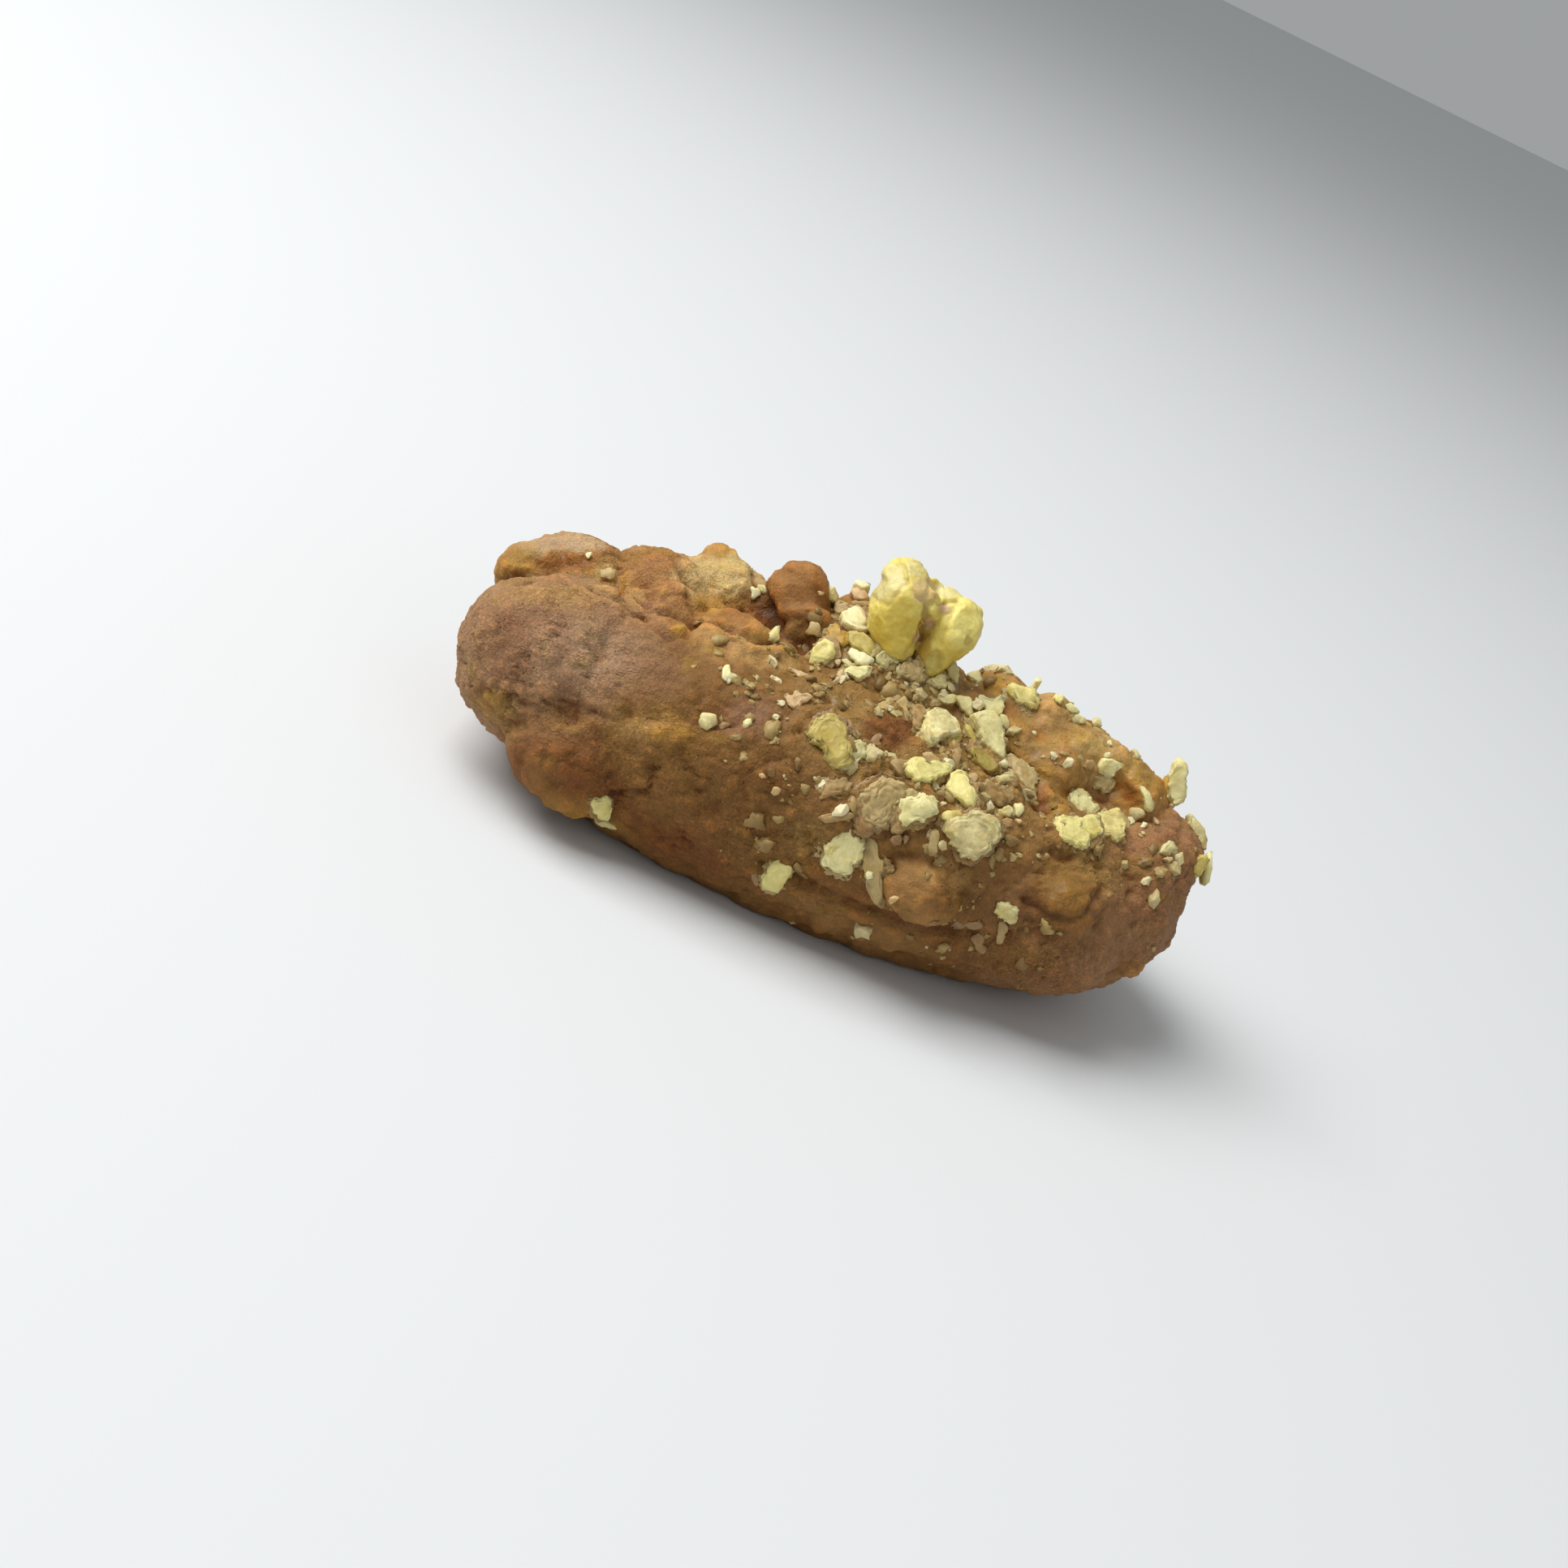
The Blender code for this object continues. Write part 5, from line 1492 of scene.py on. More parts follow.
@dataclass
class Moulded:
    """A body that grows from overlapping lobes under one skin.

    Attributes:
        step: width of the skin's quads.
        smoothing: how often the skin is softened.
    """

    name: str
    lobes: tuple[Lobe, ...]
    creases: tuple[Crease, ...]
    step: float
    smoothing: int

    def add_core(self, shape: bmesh.types.BMesh) -> None:
        """Adds what lies under the lobes. A plain body has nothing there."""

    def one_skin(self) -> bpy.types.Mesh:
        """Makes one skin of even quads over the core and the lobes, and returns it."""
        shape = bmesh.new()
        self.add_core(shape)
        for lobe in self.lobes:
            lobe.add_to(shape)
        made = new_object(self.name, mesh_from(self.name, shape))
        skin = made.modifiers.new("one_skin", "REMESH")
        skin.mode = "VOXEL"
        skin.voxel_size = self.step * MM
        soften = made.modifiers.new("soften", "SMOOTH")
        soften.factor = 0.5
        soften.iterations = self.smoothing
        graph = bpy.context.evaluated_depsgraph_get()
        mesh = bpy.data.meshes.new_from_object(made.evaluated_get(graph))
        bpy.data.objects.remove(made)
        return mesh

    def press(self, mesh: bpy.types.Mesh, rise: np.ndarray) -> None:
        """Raises the skin by rise along its normals and presses the creases in.

        Args:
            mesh: the skin.
            rise: one height for each vertex.
        """
        points = read_points(mesh)
        rise = rise - sum(crease.depth_at(points) for crease in self.creases)
        write_points(mesh, points + read_normals(mesh) * rise[:, None])


@dataclass
class Dough(Moulded):
    """The biscuit itself: a loaf with lobes, folds and a fine wrinkled skin.

    Attributes:
        belly: height of the widest section above the base.
        underside: depth of the lower half if it weren't flattened by the tray.
        squareness: 2 is an ellipsoid, more is boxier.
        end_taper: how much wider the left end is than the right.
        foot_height: how far above the base the fine relief reaches its full depth.
        relief: the broad swells of the skin. The forms after it are finer, down to the grain.
        crinkle: the fine lines of the skin where it has dried.
        ragged: how far the stains' edges wander, in pixels.
        ragged_size: spacing of those bends.
        blend: how far a lobe's colour runs into the next, as a share of its size.
        ground: how much of the plain dough's colour shows between the lobes.
        least_syrup: how wet the dough is away from its patches.
    """

    name: str = "dough_skin"
    lobes: tuple[Lobe, ...] = DOUGH_LOBES
    creases: tuple[Crease, ...] = DOUGH_CREASES
    furrows: tuple[Crease, ...] = DOUGH_FURROWS
    step: float = 0.31
    smoothing: int = 4
    patches: tuple[Patch, ...] = PATCHES
    dryings: tuple[Drying, ...] = DRYINGS
    strewings: tuple[Strewing, ...] = STREWINGS
    stains: tuple[Tint, ...] = STAINS
    ragged: float = 7.0
    ragged_size: float = 1.3
    blend: float = 0.16
    ground: float = 0.25
    least_syrup: float = 0.1
    length: float = 71.0
    width: float = 35.4
    height: float = 21.0
    belly: float = 10.4
    underside: float = 13.2
    squareness: float = 2.4
    end_taper: float = 0.06
    foot_height: float = 1.5
    relief: Grain = Grain(5.5, 0.35)
    wrinkle: Grain = Grain(1.9, 0.22)
    lump: Grain = Grain(2.6, 0.6)
    knob: Grain = Grain(2.7, 0.75)
    clump: Grain = Grain(1.05, 0.26)
    grain: Grain = Grain(0.65, 0.3)
    crinkle: Grain = Grain(1.1, 0.32)

    def add_core(self, shape: bmesh.types.BMesh) -> None:
        """Adds the plain loaf: a boxy ellipsoid, fuller above its belly line."""
        loaf = bmesh.ops.create_icosphere(shape, subdivisions=5, radius=1)
        for vertex in loaf["verts"]:
            way = vertex.co
            power = self.squareness
            level = sum(abs(part) ** power for part in way) ** (1 / power)
            x, y, z = way / level
            taper = 1 - self.end_taper * x / 2
            rise = (self.height - self.belly if z > 0 else self.underside) * taper
            place = (x * self.length / 2, y * taper * self.width / 2, self.belly + z * rise)
            vertex.co = Vector(place) * MM

    def build(self, view: View, finish: bpy.types.Material) -> bpy.types.Object:
        """Makes the dough.

        Args:
            view: the camera of the main picture, which its furrows are read in.
            finish: its material.

        Returns:
            The finished piece.
        """
        mesh = self.one_skin()
        points = read_points(mesh)
        broad, small = billow(points, self.relief.size), billow(points, self.relief.size / 2.4)
        furrowed = sum(furrow.depth_at(view.picture(points)) for furrow in self.furrows)
        self.press(mesh, self.relief.depth * (broad + 0.4 * small) - furrowed * view.faced(mesh))
        self._flatten_base(mesh)
        self._paint(mesh, view)
        made = new_object(self.name, mesh)
        made.data = self._wrinkle(made, finish)
        smooth_shade(made.data)
        return made

    def _flatten_base(self, mesh: bpy.types.Mesh) -> None:
        """Cuts off what is below the base and closes the cut."""
        shape = bmesh.new()
        shape.from_mesh(mesh)
        bmesh.ops.bisect_plane(
            shape,
            geom=shape.verts[:] + shape.edges[:] + shape.faces[:],
            plane_co=(0, 0, 0),
            plane_no=(0, 0, 1),
            clear_inner=True,
        )
        bmesh.ops.holes_fill(shape, edges=[edge for edge in shape.edges if edge.is_boundary])
        bmesh.ops.recalc_face_normals(shape, faces=shape.faces[:])
        shape.to_mesh(mesh)
        shape.free()

    def _paint(self, mesh: bpy.types.Mesh, view: View) -> None:
        """Paints the dough's colour, wetness and coarseness from its lobes, patches and stains, some of
        which paint light or shade.

        Args:
            mesh: the dough.
            view: the camera of the main picture, which the stains are read in.
        """
        points = read_points(mesh)
        colour = np.tile(np.array(Tone.UMBER.value) * self.ground, (len(points), 1))
        total = np.full(len(points), self.ground)
        for lobe in self.lobes:
            weight = np.exp(-(((lobe.level(points) - 1) / self.blend) ** 2))
            colour += weight[:, None] * np.array(lobe.tone.value)
            total += weight
        colour /= total[:, None]
        coarse = np.zeros(len(points))
        syrup = np.full(len(points), self.least_syrup)
        for patch in self.patches:
            weight = patch.weight(points)
            colour = cover(colour, patch.tone, weight * patch.cover)
            coarse += weight * patch.coarse
            syrup += weight * patch.syrup
        pixels = view.picture(points) + wander(points, self.ragged_size, self.ragged)
        faced = view.faced(mesh)
        free = np.ones(len(points))
        for stain in self.stains:
            weight = stain.weight(pixels) * faced
            colour = cover(colour, stain.tone, weight * stain.cover)
            free = np.minimum(free, 1 - weight * stain.bare)
        paint(mesh, "tone", colour)
        paint(mesh, "coarse", coarse)
        paint(mesh, "syrup", syrup)
        for name in ("sandy", "along", "across"):
            paint(mesh, name, self._most(points, self.dryings, name))
        for name in ("pale", "soaked"):
            paint(mesh, name, self._most(points, self.strewings, name) * free)

    def _most(self, points: np.ndarray, spots: Sequence[Spot], name: str) -> np.ndarray:
        """Finds how strong the strongest spot is at each point.

        Args:
            points: one row for each.
            spots: what is compared.
            name: which of their values counts.

        Returns:
            One number for each point.
        """
        strengths = [spot.weight(points) * getattr(spot, name) for spot in spots]
        return np.clip(np.max(strengths, axis=0), 0, 1)

    def _wrinkle(self, made: bpy.types.Object, finish: bpy.types.Material) -> bpy.types.Mesh:
        """Presses the fine relief in by a rule, and stores how deep each place lies in a hollow.

        Args:
            made: the dough without it.
            finish: its material.

        Returns:
            The mesh with the relief.
        """
        tree = Relief("dough_wrinkles")
        sizes = {"Foot height": self.foot_height * MM, "Crinkle depth": self.crinkle.depth * MM}
        for form in ("Wrinkle", "Lump", "Knob", "Clump", "Grain"):
            kind: Grain = getattr(self, form.lower())
            sizes[f"{form} size"] = kind.size
            sizes[f"{form} depth"] = kind.depth * MM
        given = {name: tree.number(name) for name in sizes}
        material = tree.add_input("Finish", "Material")
        place = tree.node("GeometryNodeInputPosition").outputs[0]
        normal = tree.node("GeometryNodeInputNormal").outputs[0]
        coarse = tree.stored("coarse")
        drawn = tree.warp(tree.scaled(place, (0.7, 1.0, 1.0)), 1.6, 0.8)
        edges = tree.cells(drawn, given["Wrinkle size"], "DISTANCE_TO_EDGE")
        here = tree.noise(place, 5.0, 2.0).step(0.4, 0.6)
        wrinkle = edges.step(0.14, 0.0) * here * given["Wrinkle depth"]
        lump = (tree.noise(place, given["Lump size"], 2.0, 0.5) - 0.5) * given["Lump depth"]
        crumbled = 0.5 + tree.noise(place, 3.5, 2.0).step(0.35, 0.65) * 0.5 + coarse
        clump = (0.42 - tree.cells(drawn, given["Clump size"])) * crumbled * given["Clump depth"]
        grain = (tree.noise(place, given["Grain size"], 2.0, 0.6) - 0.5) * given["Grain depth"]
        rounded = tree.cells(tree.warp(place, 2.6, 0.9), given["Knob size"], "SMOOTH_F1")
        knobby = 0.35 + tree.noise(place, 6.0, 1.0).step(0.4, 0.6) * 0.65 + coarse * 0.5
        knob = (0.4 - rounded) * knobby * given["Knob depth"]
        height = Value(tree, tree.node("ShaderNodeSeparateXYZ", inputs={0: place}).outputs[2])
        free = (height / given["Foot height"]).step(0.0, 1.0)
        crinkle = self._crinkle(tree, place) * given["Crinkle depth"]
        rise = (lump + knob + clump + grain * (1 + coarse) - wrinkle - crinkle) * free
        moved = tree.node(
            "GeometryNodeSetPosition",
            inputs={"Geometry": tree.entry.outputs[0], "Offset": tree.vector("SCALE", normal, rise)},
        )
        near = tree.node(
            "GeometryNodeBlurAttribute", {"data_type": "FLOAT_VECTOR"}, {"Value": place, "Iterations": 16}
        )
        inwards = tree.vector("SUBTRACT", near.outputs[0], place)
        hollow = Value(tree, tree.vector("DOT_PRODUCT", inwards, normal)) / MM
        tree.close(tree.store(moved.outputs[0], "hollow", hollow), material)
        return tree.run(made, {**sizes, "Finish": finish})

    def _crinkle(self, tree: Relief, place: Socket) -> Value:
        """Draws the furrows between the crinkles.

        Args:
            tree: the relief's tree.
            place: where on the surface.

        Returns:
            1 in a furrow and 0 beside it.
        """
        along = tree.warp(tree.scaled(place, (0.3, 1.0, 1.0)), 1.6, 0.5)
        across = tree.warp(tree.scaled(place, (1.0, 0.4, 0.4)), 1.6, 0.5)
        here = tree.noise(place, 2.6, 2.0).step(0.4, 0.6)
        furrow = tree.lines(along, self.crinkle.size, 0.09) * tree.stored("along")
        return furrow.most(tree.lines(across, self.crinkle.size, 0.09) * tree.stored("across")) * here


@dataclass
class WalnutPiece(Moulded):
    """The large walnut piece that stands on the crown.

    Attributes:
        ragged: how far the edges of its furrows and tints wander, in pixels.
        ragged_size: spacing of those bends.
    """

    name: str = "walnut_piece"
    lobes: tuple[Lobe, ...] = WALNUT_LOBES
    creases: tuple[Crease, ...] = WALNUT_CREASES
    step: float = 0.13
    smoothing: int = 7
    furrows: tuple[Crease, ...] = WALNUT_FURROWS
    flats: tuple[Flat, ...] = WALNUT_FLATS
    tints: tuple[Tint, ...] = WALNUT_TINTS
    tone: NutTone = NutTone.GOLD
    fold_size: float = 2.6
    fold_depth: float = 0.12
    ragged: float = 4.0
    ragged_size: float = 0.9

    def build(self, view: View, finish: bpy.types.Material) -> bpy.types.Object:
        """Makes the walnut piece.

        Args:
            view: the camera of the main picture, which its furrows and tints are read in.
            finish: its material.

        Returns:
            The finished piece.
        """
        mesh = self.one_skin()
        points = read_points(mesh)
        for flat in self.flats:
            points = flat.cut(points)
        write_points(mesh, points)
        folds, small = billow(points, self.fold_size), billow(points, self.fold_size / 3)
        shift = wander(points, self.ragged_size, self.ragged)
        pixels = view.picture(points) + shift
        furrowed = sum(furrow.depth_at(pixels - shift / 2) for furrow in self.furrows)
        faced = view.faced(mesh)
        self.press(mesh, self.fold_depth * (2.5 - 1.5 * faced) * (folds + 0.3 * small) - furrowed * faced)
        colour = np.tile(self.tone.value, (len(points), 1))
        for tint in self.tints:
            colour = cover(colour, tint.tone, tint.weight(pixels) * tint.cover)
        depth = sum(crease.depth_at(read_points(mesh)) / crease.depth for crease in self.creases)
        paint(mesh, "tone", colour)
        hidden = (1 - faced) * np.clip(0.1 - folds, 0, 0.5) * 2
        paint(mesh, "skin", np.clip(depth + furrowed * faced * 1.8 + hidden, 0, 1) * 0.45)
        mesh.materials.append(finish)
        smooth_shade(mesh)
        return new_object(self.name, mesh)


@dataclass(frozen=True)
class View:
    """Where the camera of the main picture stands.

    Attributes:
        azimuth: how far it stands to the right of the front, in degrees.
        elevation: how far it looks down, in degrees.
        roll: how far it is turned about its own line of sight, in degrees.
        distance: how far it stands from the point that it looks at.
        focal: its focal length in pixels of the square picture.
        scale: how many pixels show a millimetre of the part, about.
        side: the picture's width in pixels.
    """

    azimuth: float = -6.0
    elevation: float = 24.0
    roll: float = 26.5
    distance: float = 210.0
    aim: Place = (-3.5, 0.0, 7.0)
    focal: float = 2730.0
    scale: float = 13.0
    side: int = 1932

    def axes(self) -> tuple[Vector, Vector, Vector]:
        """Gives the camera's right, its up and the way back from what it looks at."""
        turn, rise, roll = (math.radians(angle) for angle in (self.azimuth, self.elevation, self.roll))
        back = Vector((math.sin(turn) * math.cos(rise), -math.cos(turn) * math.cos(rise), math.sin(rise)))
        level = Vector((math.cos(turn), math.sin(turn), 0))
        right = level * math.cos(roll) + back.cross(level) * math.sin(roll)
        return right, back.cross(right), back

    def eye(self) -> Vector:
        """Gives the camera's place."""
        return Vector(self.aim) + self.axes()[2] * self.distance

    def picture(self, points: np.ndarray) -> np.ndarray:
        """Finds where the main picture shows each point.

        Args:
            points: one row for each, in millimetres.

        Returns:
            Pixels across and down, one row each.
        """
        right, up, back = (np.array(axis) for axis in self.axes())
        away = points - np.array(self.eye())
        scale = -self.focal / (away @ back)
        half = self.side / 2
        return np.column_stack([half + away @ right * scale, half - away @ up * scale])

    def faced(self, mesh: bpy.types.Mesh) -> np.ndarray:
        """Gives 1 for each vertex that faces the camera, and less to 0 for one that turns away."""
        return np.clip(read_normals(mesh) @ np.array(self.axes()[2]) * 3, 0, 1)

    def ray(self, pixel: Pixel) -> Vector:
        """Gives the way from the camera to what the main picture shows at a pixel."""
        right, up, back = self.axes()
        half = self.side / 2
        way = right * (pixel[0] - half) + up * (half - pixel[1]) - back * self.focal
        return way.normalized()


class Bed:
    """The dough's surface, which the toppings lie on."""

    def __init__(self, dough: bpy.types.Object) -> None:
        """Keeps the dough's faces for finding places on it."""
        self.dough = dough
        self.tree = BVHTree.FromObject(dough, bpy.context.evaluated_depsgraph_get())

    def _broad(self, point: Vector, normal: Vector, reach: float) -> Vector:
        """Averages the dough's normals within reach of a point."""
        around = self.tree.find_nearest_range(point * MM, reach * MM)
        return sum((near[1] for near in around), normal).normalized()

    def meet(self, station: float, clock: float, reach: float = 1.2) -> tuple[Vector, Vector]:
        """Finds a place on the dough.

        Args:
            station: the distance along X.
            clock: the angle round the long axis.
            reach: how far round the place the normal is averaged.

        Returns:
            The place and the dough's normal there.
        """
        angle = math.radians(clock)
        way = Vector((0, -math.sin(angle), math.cos(angle)))
        start = Vector((station, 0, AXIS_HEIGHT)) + way * WELL_OUTSIDE
        point, normal, _, _ = self.tree.ray_cast(start * MM, -way)
        return point / MM, self._broad(point / MM, normal, reach)

    def under(self, view: View, pixel: Pixel, reach: float) -> tuple[Vector, Vector]:
        """Finds what the main picture shows of the dough at a pixel.

        Args:
            view: the camera of the main picture.
            pixel: where in the picture.
            reach: how far round it the normal is averaged.

        Returns:
            The place, or beside the dough the place on the line of sight that is nearest to it,
            and the dough's normal there.
        """
        eye, way = view.eye(), view.ray(pixel)
        point, normal, _, _ = self.tree.ray_cast(eye * MM, way)
        if point is None:
            nearest = int(view.distance - WELL_OUTSIDE)
            spots = [eye + way * step for step in range(nearest, int(view.distance + WELL_OUTSIDE))]
            found = [(self.tree.find_nearest(spot * MM), spot) for spot in spots]
            (_, normal, _, _), beside = min(found, key=lambda pair: pair[0][3])
            return beside, self._broad(beside, normal, reach + 1)
        return point / MM, self._broad(point / MM, normal, reach)


@dataclass
class Piece:
    """One piece of nut, ready to be made.

    Attributes:
        middle: the place on the dough under its middle.
        facing: turns its own axes, with Z out of the dough, into the part's.
        rim: its radius at even angles from its own X, in millimetres.
        raised: whether it stands out of the dough.
    """

    name: str
    kind: NutKind
    tone: NutTone
    height: float
    middle: Vector
    facing: Matrix
    rim: np.ndarray
    raised: bool = False


def rim_of(outline: np.ndarray, count: int = 128) -> np.ndarray:
    """Measures an outline from the origin inside it.

    Args:
        outline: its corners, one row each.
        count: how many even angles are measured.

    Returns:
        The distance of the outline at each angle, with its corners slightly rounded.
    """
    angles = np.arange(count) * math.tau / count
    ways = np.column_stack([np.cos(angles), np.sin(angles)])[:, None, :]
    start = outline[None, :, :]
    run = np.roll(outline, -1, axis=0)[None, :, :] - start

    def cross(first: np.ndarray, second: np.ndarray) -> np.ndarray:
        """Gives the cross product of flat vectors."""
        return first[..., 0] * second[..., 1] - first[..., 1] * second[..., 0]

    slope = cross(ways, run)
    slope = np.where(abs(slope) < 1e-9, 1e-9, slope)
    reach = cross(start, run) / slope
    share = cross(start, ways) / slope
    met = (share >= -1e-6) & (share <= 1 + 1e-6) & (reach > 0)
    rim = np.where(met, reach, 0).max(axis=1)
    for _ in range(2):
        rim = (np.roll(rim, 1) + 2 * rim + np.roll(rim, -1)) / 4
    return rim


@dataclass
class ChoppedNuts:
    """Pieces of chopped walnut, set in the dough.

    Attributes:
        grades: for each mesh its name, the least mean radius of its pieces and their fineness.
        steepest: the least share that a piece's plane faces the camera.
        thinness: how much of its height a piece keeps.
        root: how far a piece reaches down into the dough.
        tooth_size: spacing of the teeth along a piece's edge.
        tooth_depth: their depth.
        pasted: the least mean radius of a piece that lies in a smear of nut paste.
        paste_reach: how far that smear reaches beyond the piece.
        proud: how far every piece is lifted out of the dough.
        crumbles: how strong each layer of the crumbly relief is, and how far apart its lumps are.
        hidden_count: how many lie on the side that faces away, placed by chance.
        hidden_sizes: the length of the largest of those and of the smallest.
    """

    nuts: tuple[Nut, ...] = NUTS
    grades: tuple[tuple[str, float, int], ...] = (
        ("large_nuts", 2.1, 5),
        ("broad_nuts", 1.5, 5),
        ("chopped_nuts", 0.8, 4),
        ("small_nuts", 0.0, 3),
    )
    steepest: float = 0.5
    thinness: float = 0.6
    root: float = 0.9
    tooth_size: float = 0.42
    tooth_depth: float = 0.42
    pasted: float = 1.0
    paste_reach: float = 0.35
    proud: float = 0.12
    crumbles: tuple[tuple[float, float], ...] = ((0.3, 0.95), (0.7, 0.34), (0.8, 0.16))
    seed: int = 7
    hidden_count: int = 22
    hidden_stations: tuple[float, float] = (-12.0, 31.0)
    hidden_clocks: tuple[float, float] = (-96.0, -30.0)
    hidden_spacing: float = 3.6
    hidden_sizes: tuple[float, float] = (4.4, 1.5)

    def build(self, bed: Bed, view: View, finish: bpy.types.Material) -> list[bpy.types.Object]:
        """Makes all the pieces, as one mesh for each grade.

        Args:
            bed: what they lie on.
            view: the camera of the main picture.
            finish: their material.

        Returns:
            The finished meshes.
        """
        pieces = [self._seen(nut, bed, view) for nut in self.nuts]
        pieces += self._hidden(bed, pieces)
        broad = [piece for piece in pieces if piece.rim.mean() > self.pasted and not piece.raised]
        pieces += [self._smear(piece) for piece in broad]
        made = []
        for name, least, fineness in self.grades:
            chosen = [piece for piece in pieces if piece.rim.mean() >= least]
            pieces = [piece for piece in pieces if piece.rim.mean() < least]
            made.append(self._mesh(name, chosen, fineness, finish))
        return made

    def _seen(self, nut: Nut, bed: Bed, view: View) -> Piece:
        """Places a piece so that the main picture shows its outline.

        Args:
            nut: the piece as the picture shows it.
            bed: what it lies on.
            view: the camera of the main picture.

        Returns:
            The piece in the part's frame.
        """
        outline = np.array(nut.outline, float)
        low, high = outline.min(axis=0), outline.max(axis=0)
        pixel = (outline.mean(axis=0) + (low + high) / 2) / 2
        right, up, back = view.axes()
        reach = max(1.0, float((high - low).mean()) / 2 / view.scale)
        point, normal = bed.under(view, tuple(pixel), reach)
        scale = (view.eye() - point).dot(back) / view.focal
        facing = (normal * (1 - nut.lean) + back * nut.lean).normalized()
        if facing.dot(back) < self.steepest:
            facing = (facing + back * (self.steepest - facing.dot(back))).normalized()
        along = (right - facing * facing.dot(right)).normalized()
        turn = Matrix((along, facing.cross(along), facing)).transposed()
        flat = []
        for across, down in (outline - pixel) * scale:
            shown = right * across - up * down
            place = shown - back * facing.dot(shown) / facing.dot(back)
            flat.append((turn.transposed() @ place)[:2])
        rim = rim_of(np.array(flat))
        middle = point + facing * (nut.lift + self.proud)
        return Piece(nut.name, nut.kind, nut.tone, nut.height, middle, turn, rim, nut.lean > 0.5)

    def _smear(self, piece: Piece) -> Piece:
        """Makes the low, ragged smear of soaked nut paste that a piece lies in."""
        chance = random.Random(f"{piece.name}_paste")
        tone = chance.choice((NutTone.HAZE, NutTone.SOAKED, NutTone.PASTE))
        reach = self.paste_reach * chance.uniform(0.6, 1.5)
        shift = piece.facing @ Vector((chance.uniform(-0.4, 0.4), chance.uniform(-0.4, 0.4), -0.05))
        height = min(0.7, 0.35 * piece.height)
        middle = piece.middle + shift
        rim = piece.rim + reach
        return Piece(f"{piece.name}_paste", NutKind.PASTE, tone, height, middle, piece.facing, rim)

    def _hidden(self, bed: Bed, seen: Sequence[Piece]) -> list[Piece]:
        """Places the pieces on the far side, largest first, each clear of those before it.

        Args:
            bed: what they lie on.
            seen: the pieces that the main picture shows.

        Returns:
            The hidden pieces.
        """
        chance = random.Random(self.seed)
        kinds = (NutKind.CHUNK, NutKind.SLAB, NutKind.CHUNK, NutKind.CRUMBLY)
        tones = (NutTone.PALE, NutTone.BRIGHT, NutTone.GREY, NutTone.YELLOW, NutTone.HAZE)
        taken = [piece.middle for piece in seen]
        found: list[Piece] = []
        while len(found) < self.hidden_count:
            station, clock = chance.uniform(*self.hidden_stations), chance.uniform(*self.hidden_clocks)
            point, normal = bed.meet(station, clock)
            if min((point - other).length for other in taken) < self.hidden_spacing:
                continue
            share = len(found) / (self.hidden_count - 1)
            length = self.hidden_sizes[0] + (self.hidden_sizes[1] - self.hidden_sizes[0]) * share
            along = (Vector((1, 0, 0)) - normal * normal.x).normalized()
            facing = Matrix((along, normal.cross(along), normal)).transposed()
            facing = facing @ Matrix.Rotation(chance.uniform(0, math.tau), 3, "Z")
            corners = chance.randint(6, 9)
            step = math.tau / corners
            turns = [(corner + chance.uniform(-0.3, 0.3)) * step for corner in range(corners)]
            width = chance.uniform(0.55, 0.9)
            radii = [length / 2 * chance.uniform(0.8, 1.1) for _ in turns]
            outline = [(r * math.cos(a), r * math.sin(a) * width) for r, a in zip(radii, turns)]
            taken.append(point)
            number = len(found)
            kind, tone = kinds[number % len(kinds)], tones[number % len(tones)]
            height = length * chance.uniform(0.35, 0.5)
            rim = rim_of(np.array(outline))
            found.append(Piece(f"hidden_{number}", kind, tone, height, point, facing, rim))
        return found

    def _mesh(
        self, name: str, pieces: Sequence[Piece], fineness: int, finish: bpy.types.Material
    ) -> bpy.types.Object:
        """Makes one mesh of many pieces.

        Args:
            name: what the mesh is called.
            pieces: what it holds.
            fineness: how often each piece's ball of triangles is split.
            finish: its material.

        Returns:
            The mesh as an object.
        """
        shape = bmesh.new()
        bmesh.ops.create_icosphere(shape, subdivisions=fineness, radius=1)
        ways = np.array([vertex.co[:] for vertex in shape.verts])
        faces = np.array([[vertex.index for vertex in face.verts] for face in shape.faces])
        shape.free()
        mesh = bpy.data.meshes.new(name)
        points = [self._surface(piece, ways) for piece in pieces]
        corners = [faces + number * len(ways) for number in range(len(pieces))]
        mesh.from_pydata(np.vstack(points) * MM, [], np.vstack(corners).tolist())
        tones, skins = [], []
        for piece in pieces:
            chance = random.Random(f"{piece.name}{self.seed}")
            tones.append(np.tile(piece.tone.value, (len(ways), 1)))
            skins.append(np.full(len(ways), max(0.0, chance.uniform(-0.8, 0.5))))
        paint(mesh, "tone", np.vstack(tones))
        paint(mesh, "skin", np.concatenate(skins))
        mesh.materials.append(finish)
        smooth_shade(mesh)
        return new_object(name, mesh)

